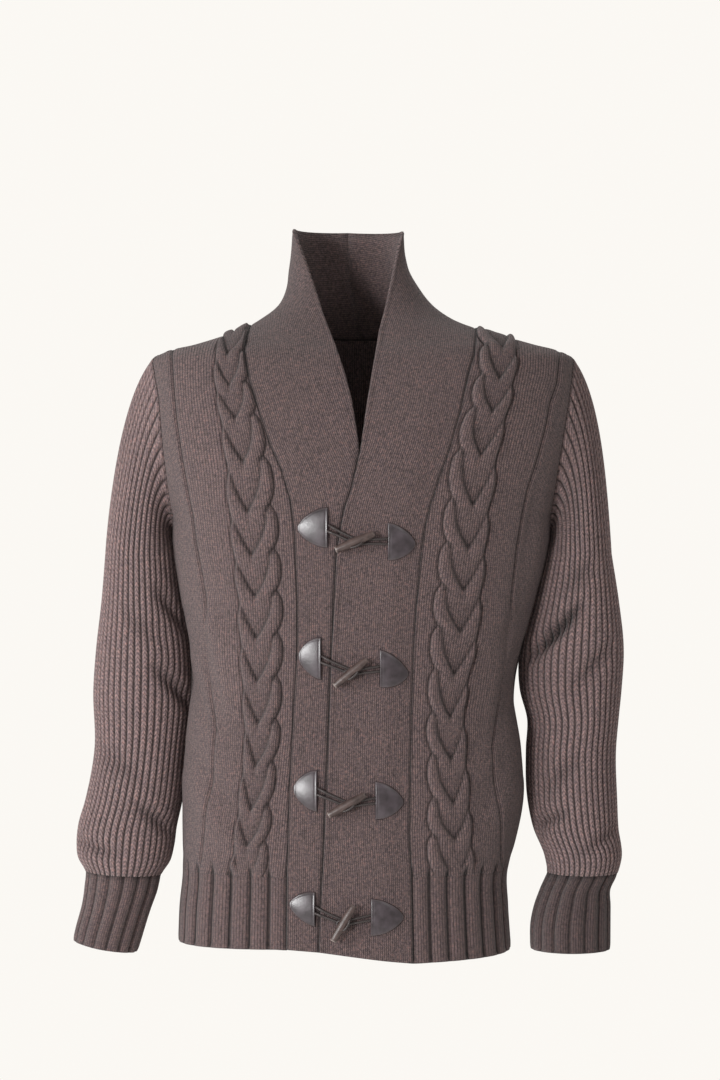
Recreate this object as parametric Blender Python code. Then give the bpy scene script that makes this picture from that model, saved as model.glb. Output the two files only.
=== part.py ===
"""Shawl collar cardigan in its worn, hollow form: twelve knitted pieces and four toggle fastenings.

Metres, +Z up, the front faces -Y.  The origin is between the shoulders, level with the tops of
the shoulder seams.  "left" and "right" are the wearer's own: left lies towards +X.
"""
import math

import bpy
import numpy as np

WALL = 0.003            # knitted cloth of the body, bands and ribs
SLEEVE_WALL = 0.0035    # the sleeves' thicker ribbed cloth
SEAM = 0.00017          # each piece stops this far from its seam line
RIB_TOP = -0.562        # where the panels end and the hem ribs begin
UNDERARM = -0.215       # bottom of the armholes
SHOULDER_TIP = -0.034   # top of the armholes
ARMHOLE_DEPTH = 0.050   # how far an armhole reaches before and behind the side
CROSSING = -0.138       # height at which the two bands cross
LAP = 0.0037            # how far the left band lies out, over the right one
LAP_RAMP = 1.0 / 3.0    # share of the left band's width spent rising to that
CUFF_TOP = -0.566
LEATHER = 0.0014
CORD_RADIUS = 0.0012
REST = 0.0004           # clearance between things that lie on one another
ROUND = 28              # sides of a sleeve or cuff ring

# the body form: level, sideways lean, set back, half width, depth before, depth behind, roundness
BODY = np.array((
    (-0.665, -0.0057, 0.000, 0.1725, 0.112, 0.118, 2.6),
    (-0.645, -0.0057, 0.000, 0.1710, 0.112, 0.118, 2.6),
    (-0.600, -0.0062, 0.000, 0.1685, 0.110, 0.117, 2.6),
    (-0.567, -0.0050, 0.000, 0.1665, 0.110, 0.117, 2.6),
    (-0.536, -0.0010, 0.000, 0.1715, 0.113, 0.120, 2.6),
    (-0.495, 0.0030, 0.000, 0.1755, 0.115, 0.120, 2.6),
    (-0.443, 0.0045, 0.000, 0.1725, 0.113, 0.115, 2.6),
    (-0.381, 0.0050, 0.000, 0.1640, 0.110, 0.108, 2.6),
    (-0.335, 0.0070, 0.000, 0.1660, 0.112, 0.108, 2.6),
    (-0.288, 0.0090, 0.000, 0.1760, 0.116, 0.112, 2.6),
    (-0.225, 0.0115, 0.000, 0.1890, 0.121, 0.118, 2.6),
    (-0.1635, 0.0120, 0.000, 0.2050, 0.122, 0.121, 2.6),
    (-0.120, 0.0130, 0.000, 0.2150, 0.118, 0.119, 2.5),
    (-0.080, 0.0145, 0.000, 0.2205, 0.108, 0.114, 2.4),
    (-0.055, 0.0140, 0.002, 0.2215, 0.099, 0.109, 2.3),
    (-0.040, 0.0135, 0.004, 0.2190, 0.092, 0.104, 2.2),
    (-0.031, 0.0140, 0.006, 0.2040, 0.086, 0.098, 2.2),
    (-0.024, 0.0150, 0.008, 0.1780, 0.080, 0.092, 2.2),
    (-0.016, 0.0140, 0.010, 0.1510, 0.075, 0.086, 2.2),
    (-0.008, 0.0110, 0.012, 0.1250, 0.071, 0.080, 2.2),
    (0.003, 0.0070, 0.015, 0.1010, 0.066, 0.072, 2.2),
    (0.020, 0.0055, 0.018, 0.0790, 0.060, 0.064, 2.2),
    (0.038, 0.0025, 0.020, 0.0685, 0.055, 0.059, 2.2),
    (0.054, -0.0010, 0.020, 0.0630, 0.052, 0.057, 2.2),
    (0.069, -0.0020, 0.020, 0.0600, 0.050, 0.056, 2.2),
    (0.097, -0.0020, 0.020, 0.0580, 0.048, 0.054, 2.2),
    (0.115, -0.0020, 0.020, 0.0575, 0.047, 0.053, 2.2),
))

# seam between a front and its band: level, distance across
SEAM_LINE = {
    "right": np.array((
        (-0.665, -0.0634), (-0.5540, -0.0624), (-0.4745, -0.0603), (-0.3850, -0.0555),
        (-0.3350, -0.0524), (-0.2850, -0.0523), (-0.2157, -0.0552), (-0.1859, -0.0591),
        (-0.1551, -0.0681), (-0.1312, -0.0792), (-0.0970, -0.0904), (-0.0653, -0.1009),
        (-0.0337, -0.1068), (-0.0200, -0.1057), (-0.0020, -0.1030))),
    "left": np.array((
        (-0.665, 0.0642), (-0.5586, 0.0622), (-0.5202, 0.0596), (-0.4397, 0.0611),
        (-0.3951, 0.0622), (-0.3372, 0.0641), (-0.2893, 0.0670), (-0.2455, 0.0709),
        (-0.2137, 0.0749), (-0.1909, 0.0808), (-0.1661, 0.0888), (-0.1362, 0.0998),
        (-0.0970, 0.1110), (-0.0582, 0.1196), (-0.0382, 0.1262), (-0.0020, 0.1310))),
}

# free edge of a band and its collar: level, distance across
FREE_LINE = {
    "right": np.array((
        (-0.665, 0.0300), (-0.2500, 0.0280), (-0.1800, 0.0200), (-0.1383, 0.0103),
        (-0.1164, 0.0074), (-0.0862, 0.0024), (-0.0607, -0.0037), (-0.0452, -0.0087),
        (-0.0292, -0.0138), (-0.0129, -0.0201), (0.0034, -0.0263), (0.0196, -0.0316),
        (0.0600, -0.0460), (0.0850, -0.0555), (0.0985, -0.0605))),
    "left": np.array((
        (-0.665, -0.0310), (-0.6040, -0.0295), (-0.5340, -0.0255), (-0.4445, -0.0215),
        (-0.3750, -0.0195), (-0.3152, -0.0165), (-0.2356, -0.0125), (-0.1959, -0.0055),
        (-0.1741, 0.0024), (-0.1383, 0.0103), (-0.0963, 0.0163), (-0.0761, 0.0193),
        (-0.0452, 0.0244), (-0.0130, 0.0296), (0.0195, 0.0379), (0.0600, 0.0475),
        (0.0830, 0.0530), (0.0970, 0.0560))),
}
NECK_POINT = -0.002     # where shoulder seam, neckline and collar seam meet
NAPE = -0.012           # neckline at the centre back
COLLAR_TIP = {"right": 0.0985, "left": 0.0960}
COLLAR_BACK = 0.1000

# lower edge of the garment: angle round the body from the front, level
HEM = np.array((
    (-180, -0.641), (-90, -0.637), (-32, -0.634), (-14, -0.636), (5, -0.641), (32, -0.648),
    (90, -0.644), (180, -0.641)))

# a sleeve below the armhole: level, distance out, half width, set back, half depth, slant
SLEEVE = {
    "right": np.array((
        (-0.240, 0.2153, 0.0372, 0.010, 0.064, 0.000), (-0.288, 0.2149, 0.0419, 0.014, 0.063, 0.000),
        (-0.340, 0.2140, 0.0490, 0.018, 0.062, 0.000), (-0.381, 0.2148, 0.0512, 0.020, 0.060, 0.000),
        (-0.443, 0.2168, 0.0473, 0.012, 0.056, 0.000), (-0.495, 0.2235, 0.0490, -0.002, 0.055, 0.000),
        (-0.521, 0.2295, 0.0495, -0.009, 0.055, 0.001), (-0.538, 0.2310, 0.0490, -0.014, 0.054, 0.001),
        (-0.553, 0.2320, 0.0460, -0.019, 0.049, 0.002), (-0.566, 0.2325, 0.0385, -0.022, 0.042, 0.002),
        (-0.583, 0.2349, 0.0361, -0.027, 0.039, 0.003), (-0.598, 0.2385, 0.0340, -0.031, 0.0375, 0.004),
        (-0.629, 0.2470, 0.0325, -0.038, 0.036, 0.006), (-0.639, 0.2495, 0.0320, -0.040, 0.036, 0.006))),
    "left": np.array((
        (-0.240, 0.2358, 0.0343, 0.010, 0.064, 0.000), (-0.288, 0.2340, 0.0440, 0.014, 0.063, 0.000),
        (-0.340, 0.2306, 0.0530, 0.018, 0.062, 0.000), (-0.381, 0.2298, 0.0517, 0.020, 0.060, 0.000),
        (-0.412, 0.2318, 0.0462, 0.016, 0.058, 0.000), (-0.443, 0.2295, 0.0455, 0.012, 0.056, 0.000),
        (-0.495, 0.2300, 0.0450, -0.002, 0.055, 0.000), (-0.521, 0.2328, 0.0427, -0.009, 0.053, 0.000),
        (-0.552, 0.2400, 0.0381, -0.018, 0.049, 0.000), (-0.566, 0.2388, 0.0357, -0.022, 0.042, 0.000),
        (-0.583, 0.2310, 0.0350, -0.027, 0.040, 0.000), (-0.598, 0.2280, 0.0380, -0.031, 0.041, 0.000),
        (-0.614, 0.2258, 0.0398, -0.035, 0.042, 0.000), (-0.642, 0.2250, 0.0400, -0.040, 0.042, 0.000))),
}

# leather patches: side, tip across, tip level, inner edge across, its upper and lower level
PATCHES = (
    ("right", -0.0522, -0.2137, -0.0212, -0.1929, -0.2336), ("left", 0.0659, -0.2296, 0.0376, -0.2078, -0.2455),
    ("right", -0.0514, -0.3412, -0.0280, -0.3222, -0.3651), ("left", 0.0592, -0.3592, 0.0298, -0.3341, -0.3720),
    ("right", -0.0563, -0.4734, -0.0319, -0.4544, -0.4961), ("left", 0.0541, -0.4862, 0.0253, -0.4653, -0.5030),
    ("right", -0.0604, -0.5884, -0.0340, -0.5762, -0.6110), ("left", 0.0542, -0.6014, 0.0208, -0.5822, -0.6199),
)

# toggles: lower end across and level, upper end across and level
TOGGLES = ((-0.0135, -0.2346, 0.0242, -0.2187), (-0.0146, -0.3700, 0.0173, -0.3431),
           (-0.0205, -0.4980, 0.0153, -0.4781), (-0.0165, -0.6238, 0.0044, -0.5881))
TOGGLE_SHAPE = ((0.0, 0.0024), (0.05, 0.0034), (0.25, 0.0041), (0.5, 0.0043), (0.75, 0.0040),
                (0.94, 0.0032), (1.0, 0.0022))


def through(knots, table, at):
    """A smooth curve through the rows of a table, read at the given places."""
    at = np.clip(at, knots[0], knots[-1])
    slope = np.gradient(table, knots, axis=0)
    k = np.clip(np.searchsorted(knots, at, side="right") - 1, 0, len(knots) - 2)
    step = (knots[k + 1] - knots[k])[..., None]
    u = ((at - knots[k]) / (knots[k + 1] - knots[k]))[..., None]
    return ((2 * u**3 - 3 * u**2 + 1) * table[k] + (u**3 - 2 * u**2 + u) * step * slope[k]
            + (3 * u**2 - 2 * u**3) * table[k + 1] + (u**3 - u**2) * step * slope[k + 1])


KNOTS = np.concatenate(([0.0], np.cumsum(np.hypot(np.diff(BODY[:, 0]), np.diff(BODY[:, 3])))))
FINE = np.linspace(0.0, KNOTS[-1], 4001)
LEVELS = through(KNOTS, BODY, FINE)[:, 0]


def section(s):
    """The body form's measures at a place up its side."""
    return np.moveaxis(through(KNOTS, BODY, np.asarray(s, float)), -1, 0)


def place_up(z):
    """How far up the side a level lies."""
    return np.interp(z, LEVELS, FINE)


def form(theta, s):
    """A point of the body form: angle from the front, place up the side."""
    z, lean, back, wide, fore, aft, n = section(s)
    deep = np.where(np.cos(theta) > 0, fore, aft)
    r = (np.abs(np.sin(theta) / wide)**n + np.abs(np.cos(theta) / deep)**n)**(-1 / n)
    return np.stack((lean + r * np.sin(theta), back - r * np.cos(theta), z), -1)


def outward(theta, s):
    """The form's outward direction."""
    e = 2e-4
    across = form(theta + e, s) - form(theta - e, s)
    up = form(theta, np.minimum(s + e, KNOTS[-1])) - form(theta, np.maximum(s - e, 0))
    n = np.cross(across, up)
    return n / np.linalg.norm(n, axis=-1, keepdims=True)


def angle_at(x, z):
    """Angle of the point of the form's front that stands at x."""
    _, lean, _, wide, fore, _, n = section(place_up(z))
    out = np.clip((x - lean) / wide, -1, 1)
    return np.arctan2(out * wide, fore * (1 - np.abs(out)**n)**(1 / n))


def unit(v):
    return v / np.maximum(np.linalg.norm(v, axis=-1, keepdims=True), 1e-12)


# ---------------------------------------------------------------- the lines the pieces share

def armhole(side, a):
    """An armhole: turn a from the shoulder tip (0) by the front (pi/2) to the underarm (pi)."""
    sign = 1.0 if side == "left" else -1.0
    z = (SHOULDER_TIP + UNDERARM) / 2 + (SHOULDER_TIP - UNDERARM) / 2 * np.cos(a)
    s = place_up(z)
    _, _, _, wide, fore, aft, n = section(s)
    depth = ARMHOLE_DEPTH * np.sin(a)
    deep = np.where(depth >= 0, fore, aft)
    out = wide * (1 - np.abs(depth / deep)**n)**(1 / n)
    return np.arctan2(sign * out, depth), s


def loop_turns(count):
    """Turns round an armhole, closer together at the shoulder and under the arm."""
    a = np.linspace(0, 2 * math.pi, count + 1)
    return a - 0.2 * np.sin(2 * a)


ARM_ROWS = ROUND // 2
SIDE_ROWS = 8
RIB_ROWS = 2
NECK_COLUMNS = 5
BAND_COLUMNS = 6
FRONT_COLUMNS = 6


def rising(side):
    """Rows of a front from hem to shoulder: (place, seam angle) at the band and at the side."""
    sign = 1.0 if side == "left" else -1.0
    seam = SEAM_LINE[side]
    ribs = np.linspace(0, 1, RIB_ROWS + 1)[:-1]
    side_z = np.concatenate((np.interp(sign * 90, HEM[:, 0], HEM[:, 1]) * (1 - ribs) + RIB_TOP * ribs,
                             np.linspace(RIB_TOP, UNDERARM, SIDE_ROWS + 1)[:-1]))
    turns = loop_turns(ROUND)[:ARM_ROWS + 1][::-1]
    arm_angle, arm_s = armhole(side, turns)
    arm_angle[0] = arm_angle[-1] = sign * math.pi / 2
    outer = (np.concatenate((np.full(len(side_z), sign * math.pi / 2), arm_angle)),
             np.concatenate((place_up(side_z), arm_s)))
    hem_z = np.interp(sign * 32, HEM[:, 0], HEM[:, 1])
    seam_z = np.concatenate((hem_z * (1 - ribs) + RIB_TOP * ribs,
                             np.linspace(RIB_TOP, UNDERARM, SIDE_ROWS + 1)[:-1]))
    rise = np.linspace(0, 1, ARM_ROWS + 1)
    arm_inner = place_up(UNDERARM) + (place_up(NECK_POINT) - place_up(UNDERARM)) * rise
    inner_s = np.concatenate((place_up(seam_z), arm_inner))
    inner_z = section(inner_s)[0]
    inner_angle = angle_at(np.interp(inner_z, seam[:, 0], seam[:, 1]), inner_z)
    inner_angle[-1] = sign * math.pi / 2
    return (inner_angle, inner_s), outer


def band_rows(side):
    """Rows of a band and collar from hem to centre back: seam line and free line."""
    sign = 1.0 if side == "left" else -1.0
    (angle, s), _ = rising(side)
    free = FREE_LINE[side]
    low = RIB_ROWS + SIDE_ROWS
    z = section(s)[0]
    hem_free = np.interp(-14 if side == "left" else 5, HEM[:, 0], HEM[:, 1])
    ribs = np.linspace(0, 1, RIB_ROWS + 1)[:-1]
    z[:RIB_ROWS] = hem_free * (1 - ribs) + RIB_TOP * ribs
    z[low:] = UNDERARM + (COLLAR_TIP[side] - UNDERARM) * np.linspace(0, 1, ARM_ROWS + 1)
    free_angle = angle_at(np.interp(z, free[:, 0], free[:, 1]), z)
    free_angle[-1] = sign * math.pi / 2
    round_back = np.linspace(0, 1, NECK_COLUMNS + 1)[1:]
    back_angle = sign * (math.pi / 2 + math.pi / 2 * round_back)
    neck_angle, neck_s = neckline(side, round_back)
    top_s = place_up(COLLAR_TIP[side] + (COLLAR_BACK - COLLAR_TIP[side]) * round_back)
    return ((np.concatenate((angle, neck_angle)), np.concatenate((s, neck_s))),
            (np.concatenate((free_angle, back_angle)), np.concatenate((place_up(z), top_s))))


def neckline(side, part):
    """The back neckline from the neck point (0) to the nape (1)."""
    sign = 1.0 if side == "left" else -1.0
    level = NECK_POINT + (NAPE - NECK_POINT) * np.sin(part * math.pi / 2)
    return sign * (math.pi / 2 + math.pi / 2 * part), place_up(level)


# ---------------------------------------------------------------- cloth

def pull_in(points, edges, by=SEAM):
    """Moves the named edge rows back from the seam line."""
    p = points.copy()
    for edge in edges:
        if edge == "first_row":
            p[0] += by * unit(points[1] - points[0])
        if edge == "last_row":
            p[-1] += by * unit(points[-2] - points[-1])
        if edge == "first_column":
            p[:, 0] += by * unit(points[:, 1] - points[:, 0])
        if edge == "last_column":
            p[:, -1] += by * unit(points[:, -2] - points[:, -1])
    return p


def cloth(name, collection, material, outer, inner, closed=False):
    """A thin solid between two matching grids of points, its edges closed all round."""
    rows, columns = outer.shape[:2]
    count = rows * columns
    ids = np.arange(count).reshape(rows, columns)
    if closed:
        ids = np.concatenate((ids, ids[:, :1]), 1)
    a, b, c, d = ids[:-1, :-1], ids[:-1, 1:], ids[1:, 1:], ids[1:, :-1]
    face = np.stack((a, b, c, d), -1).reshape(-1, 4)
    faces = [face, face[:, ::-1] + count]
    rims = [ids[0, ::-1], ids[-1]]
    if not closed:
        rims += [ids[:, 0], ids[::-1, -1]]
    for rim in rims:
        faces.append(np.stack((rim[:-1], rim[1:], rim[1:] + count, rim[:-1] + count), -1))
    points = np.concatenate((outer.reshape(-1, 3), inner.reshape(-1, 3)))
    faces = np.concatenate(faces)
    if volume(points, faces) < 0:
        faces = faces[:, ::-1]
    mesh = bpy.data.meshes.new(name)
    mesh.from_pydata(points.tolist(), [], faces.tolist())
    mesh.materials.append(material)
    piece = bpy.data.objects.new(name, mesh)
    collection.objects.link(piece)
    return piece


def volume(points, faces):
    """Six times the volume the faces enclose."""
    p = points[faces]
    return (np.einsum("ij,ij->i", p[:, 0], np.cross(p[:, 1], p[:, 2])).sum()
            + np.einsum("ij,ij->i", p[:, 0], np.cross(p[:, 2], p[:, 3])).sum())


def on_form(angle, s, lift, wall, edges):
    """Outer and inner points of a piece laid on the form."""
    n = outward(angle, s)
    p = pull_in(form(angle, s) + n * np.asarray(lift)[..., None], edges)
    return p, p - n * wall


def front(side, collection, knit, rib):
    """A front panel and the hem rib below it."""
    inner, outer = rising(side)
    across = np.linspace(0, 1, FRONT_COLUMNS + 1)
    angle = inner[0][:, None] * (1 - across) + outer[0][:, None] * across
    s = inner[1][:, None] * (1 - across) + outer[1][:, None] * across
    every = ("first_row", "last_row", "first_column", "last_column")
    cut = RIB_ROWS
    p, q = on_form(angle[cut:], s[cut:], np.zeros_like(s[cut:]), WALL, every)
    cloth("front_" + side, collection, knit, p, q)
    p, q = on_form(angle[:cut + 1], s[:cut + 1], np.zeros_like(s[:cut + 1]), WALL, every[1:])
    cloth("hem_rib_front_" + side, collection, rib, p, q)


def back(collection, knit, rib):
    """The back panel and the hem rib below it: from the left side round to the right."""
    _, left = rising("left")
    _, right = rising("right")
    shoulder = np.linspace(0, 1, FRONT_COLUMNS + 1)
    part = np.linspace(0, 1, NECK_COLUMNS + 1)[1:]
    neck_angle, neck_s = neckline("left", part)
    tip_s, point_s = left[1][-1], place_up(NECK_POINT)
    top_angle = np.concatenate((np.full(len(shoulder), math.pi / 2), neck_angle))
    top_s = np.concatenate((tip_s + (point_s - tip_s) * shoulder, neck_s))
    top_angle = np.concatenate((top_angle, 2 * math.pi - top_angle[-2::-1]))
    top_s = np.concatenate((top_s, top_s[-2::-1]))
    turns = loop_turns(ROUND)[ARM_ROWS:]
    rows = len(left[0])
    low = RIB_ROWS + SIDE_ROWS
    side_angle = {}
    side_s = {}
    for side in ("left", "right"):
        angle, s = (left if side == "left" else right)
        behind, behind_s = armhole(side, turns)
        side_angle[side] = np.concatenate((angle[:low], behind))
        side_s[side] = np.concatenate((s[:low], behind_s))
        side_angle[side][low] = side_angle[side][-1] = math.pi / 2 * (1 if side == "left" else -1)
    start = side_angle["left"]
    end = side_angle["right"] + 2 * math.pi
    columns = len(top_angle)
    across = np.linspace(0, 1, columns)
    rise = np.concatenate((np.zeros(low), np.linspace(0, 1, rows - low)))[:, None]
    spread = across * (1 - rise) + rise * (top_angle - top_angle[0]) / (top_angle[-1] - top_angle[0])
    spread = np.clip(spread, 0, 1)
    angle = start[:, None] * (1 - spread) + end[:, None] * spread
    base = side_s["left"][:, None] * (1 - across) + side_s["right"][:, None] * across
    top_lift = rise**2 * (top_s - top_s[0])
    s = base + top_lift
    hem = place_up(np.interp(np.degrees(np.where(angle[0] > math.pi, angle[0] - 2 * math.pi, angle[0])),
                             HEM[:, 0], HEM[:, 1]))
    s[0] = hem
    s[1] = (hem + s[RIB_ROWS]) / 2
    every = ("first_row", "last_row", "first_column", "last_column")
    cut = RIB_ROWS
    p, q = on_form(angle[cut:], s[cut:], np.zeros_like(s[cut:]), WALL, every)
    cloth("back", collection, knit, p, q)
    p, q = on_form(angle[:cut + 1], s[:cut + 1], np.zeros_like(s[:cut + 1]), WALL, every[1:])
    cloth("hem_rib_back", collection, rib, p, q)


def lap(share, z):
    """How far out the left band lies: rising from its seam, gone above the crossing."""
    rise = np.clip(share / LAP_RAMP, 0, 1)
    return LAP * rise * np.clip((CROSSING + 0.065 - z) / 0.045, 0, 1)


def band(side, collection, material):
    """A front band running up into its half of the collar."""
    seam, free = band_rows(side)
    across = np.linspace(0, 1, BAND_COLUMNS + 1)
    angle = seam[0][:, None] * (1 - across) + free[0][:, None] * across
    s = seam[1][:, None] * (1 - across) + free[1][:, None] * across
    lift = np.zeros_like(s)
    if side == "left":
        lift = lap(across[None], section(s)[0])
    p, q = on_form(angle, s, lift, WALL, ("first_column", "last_row"))
    cloth("collar_band_" + side, collection, material, p, q)


def ring(side, row, a):
    """One ring of a sleeve: turn a from the outer side by the front."""
    sign = 1.0 if side == "left" else -1.0
    z, out, wide, back_set, deep, slant = row
    return np.stack((sign * (out + wide * np.cos(a)), back_set - deep * np.sin(a), z + slant * np.cos(a)), -1)


def sleeve(side, collection, knit, rib):
    """A sleeve from its armhole to the cuff, then the cuff."""
    sign = 1.0 if side == "left" else -1.0
    a = np.linspace(0, 2 * math.pi, ROUND + 1)[:-1]
    turns = loop_turns(ROUND)[:-1]
    angle, s = armhole(side, turns)
    start = form(angle, s)
    normal = outward(angle, s)
    along = np.roll(start, -1, 0) - np.roll(start, 1, 0)
    hole = unit(np.cross(normal, along))
    hole *= np.sign(np.einsum("ij,ij->i", hole, start.mean(0) - start))[:, None]
    table = SLEEVE[side]
    first = ring(side, table[0], a)
    reach = np.linalg.norm(first - start, axis=1)[:, None]
    high = (1 + np.cos(a)) / 2
    to_hole = np.interp(high, (0, 0.5, 1), (0.55, 0.35, 0.55))[:, None]
    to_out = np.interp(high, (0, 0.5, 1), (1.10, 0.35, 0.05))[:, None]
    to_down = np.interp(high, (0, 0.5, 1), (0.0, 0.8, 0.2))[:, None]
    down = np.array((0.0, 0.0, -1.0))
    leave = reach * (to_hole * hole + to_out * normal + to_down * down)
    arrive = reach * 0.85 * np.array((sign * 0.05, 0.0, -1.0))
    start = start + 3 * SEAM * hole
    rings = []
    for u in np.linspace(0, 1, 8)[:-1]:
        rings.append((2 * u**3 - 3 * u**2 + 1) * start + (u**3 - 2 * u**2 + u) * leave
                     + (3 * u**2 - 2 * u**3) * first + (u**3 - u**2) * arrive)
    cuff = int(np.argmin(np.abs(table[:, 0] - CUFF_TOP)))
    for row in table[:cuff + 1]:
        rings.append(ring(side, row, a))
    grid = np.array(rings)
    n = tube_outward(grid)
    n[0] = normal
    n[1] = unit(n[1] + 0.4 * normal)
    grid = pull_in(grid, ("last_row",))
    cloth("sleeve_" + side, collection, knit, grid, grid - SLEEVE_WALL * n, True)
    grid = np.array([ring(side, row, a) for row in table[cuff:]])
    end = tube_outward(grid)
    end[0] = n[-1]
    grid = pull_in(grid, ("first_row",))
    cloth("cuff_" + side, collection, rib, grid, grid - WALL * end, True)


def tube_outward(grid):
    """Outward directions of a closed run of rings."""
    round_ = np.roll(grid, -1, 1) - np.roll(grid, 1, 1)
    along = np.gradient(grid, axis=0)
    n = unit(np.cross(round_, along))
    centre = grid.mean(1, keepdims=True)
    flip = np.sign(np.einsum("ijk,ijk->i", n, grid - centre))
    return n * flip[:, None, None]


# ---------------------------------------------------------------- fastenings

def over_front(x, z, lift):
    """A point standing off the form's front."""
    angle = angle_at(x, z)
    s = place_up(z)
    return form(angle, s) + outward(angle, s) * np.asarray(lift)[..., None]


def lap_at(x, z):
    """How far out the left band's face lies at a place on it."""
    seam = np.interp(z, *SEAM_LINE["left"].T)
    free = np.interp(z, *FREE_LINE["left"].T)
    return lap((seam - x) / (seam - free), z)


def patch(number, row, collection, material):
    """A leather patch: straight inner edge, bowed sides meeting in a blunt point."""
    side, tip_x, tip_z, edge_x, upper, lower = row
    out = np.linspace(0, 0.985, 7)[:, None]
    up = np.linspace(-1, 1, 5)[None]
    half = (upper - lower) / 2 * (1 - out**2)**0.6
    x = (edge_x + (tip_x - edge_x) * out) * np.ones_like(up)
    z = (upper + lower) / 2 * (1 - out) + tip_z * out + half * up
    lift = 2 * REST + LEATHER + (lap_at(x, z) if side == "left" else np.zeros_like(x))
    angle = angle_at(x, z)
    s = place_up(z)
    n = outward(angle, s)
    p = form(angle, s) + n * lift[..., None]
    cloth("patch_%d_%s" % (number, side), collection, material, p, p - n * LEATHER)


def rod(name, collection, material, points, radii, sides):
    """A round rod along a path."""
    curve = bpy.data.curves.new(name, "CURVE")
    curve.dimensions = "3D"
    curve.bevel_depth = 1.0
    curve.bevel_resolution = sides
    curve.use_fill_caps = True
    spline = curve.splines.new("POLY")
    spline.points.add(len(points) - 1)
    for point, place, radius in zip(spline.points, points, radii):
        point.co = (*place, 1.0)
        point.radius = radius
    curve.materials.append(material)
    piece = bpy.data.objects.new(name, curve)
    collection.objects.link(piece)
    return piece


def cord(name, collection, material, start, end, levels):
    """A doubled cord: out from a patch, round beneath the toggle and back."""
    start, end = np.array(start), np.array(end)
    way = unit(end - start)
    side = np.array((-way[1], way[0]))
    bend = 0.0024
    run = np.linalg.norm(end - start)
    share = np.array((0.0, 0.18, 0.4, 0.62, 0.85, 1.0))
    spread = np.interp(share, (0, 0.5, 1), (0.0040, 0.0030, bend))
    there = start + way * (share * run)[:, None]
    turn = np.radians((67.5, 45.0, 22.5, 0.0, -22.5, -45.0, -67.5))
    loop = end + bend * (np.cos(turn)[:, None] * way + np.sin(turn)[:, None] * side)
    flat = np.concatenate((there + side * spread[:, None], loop, (there - side * spread[:, None])[::-1]))
    high = np.interp(share, *np.array(levels).T)
    lift = np.concatenate((high, np.full(len(turn), high[-1]), high[::-1]))
    points = over_front(flat[:, 0], flat[:, 1], lift)
    return rod(name, collection, material, points, [CORD_RADIUS] * len(points), 2)


def fastening(number, collection, horn, cord_stuff):
    """One toggle with the loop it hooks through and the cord that holds it."""
    x0, z0, x1, z1 = TOGGLES[number - 1]
    middle = np.array(((x0 + x1) / 2, (z0 + z1) / 2))
    right = PATCHES[2 * number - 2]
    left = PATCHES[2 * number - 1]
    low = LAP + REST + CORD_RADIUS
    high = low + 2 * CORD_RADIUS + REST
    loop_start = (right[3] + 0.0014, (right[4] + right[5]) / 2)
    hold_start = (left[3] - 0.0014, (left[4] + left[5]) / 2)
    reach = middle + 0.0030 * unit(middle - np.array(loop_start))
    cord("cord_%d_loop" % number, collection, cord_stuff, loop_start, reach,
         ((0.0, low - 0.0002), (0.10, low + 0.0006), (1.0, low)))
    reach = middle + 0.0030 * unit(middle - np.array(hold_start))
    cord("cord_%d_hold" % number, collection, cord_stuff, hold_start, reach,
         ((0.0, low + 0.0002), (0.18, low + 0.0014), (0.4, high), (1.0, high)))
    lift = high + CORD_RADIUS + REST + 0.0043
    shape = np.array(TOGGLE_SHAPE)
    x = x0 + (x1 - x0) * shape[:, 0]
    z = z0 + (z1 - z0) * shape[:, 0]
    ends = over_front(np.array((x0, x1)), np.array((z0, z1)), np.array((lift, lift)))
    points = ends[0] + (ends[1] - ends[0]) * shape[:, :1]
    rod("toggle_%d" % number, collection, horn, points, shape[:, 1], 3)


# ---------------------------------------------------------------- materials and the whole

def material(name, colour, roughness):
    stuff = bpy.data.materials.new(name)
    stuff.use_nodes = True
    shader = stuff.node_tree.nodes["Principled BSDF"]
    shader.inputs["Base Color"].default_value = (*colour, 1.0)
    shader.inputs["Roughness"].default_value = roughness
    stuff.diffuse_color = (*colour, 1.0)
    return stuff


def clear():
    for thing in list(bpy.data.objects):
        bpy.data.objects.remove(thing)


def main():
    clear()
    garment = bpy.data.collections.new("shawl_collar_cardigan")
    bpy.context.scene.collection.children.link(garment)
    knit = material("knit_body", (0.150, 0.108, 0.102), 0.95)
    rib = material("knit_rib", (0.125, 0.092, 0.088), 0.95)
    ribbed = material("knit_sleeve", (0.140, 0.104, 0.100), 0.95)
    firm = material("knit_band", (0.130, 0.094, 0.090), 0.95)
    leather = material("leather", (0.030, 0.022, 0.024), 0.35)
    horn = material("toggle", (0.110, 0.065, 0.050), 0.45)
    laced = material("cord", (0.035, 0.026, 0.025), 0.55)
    back(garment, knit, rib)
    for side in ("left", "right"):
        front(side, garment, knit, rib)
        band(side, garment, firm)
        sleeve(side, garment, ribbed, rib)
    for index, row in enumerate(PATCHES):
        patch(index // 2 + 1, row, garment, leather)
    for number in range(1, len(TOGGLES) + 1):
        fastening(number, garment, horn, laced)


main()
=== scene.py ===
"""Shawl collar cardigan: knitted shells with their cables, ribs and folds, and the toggle fastenings.

Everything stands in the frame's own place, in metres: +Z up, the front faces -Y, left is +X.
"""
import math

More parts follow.
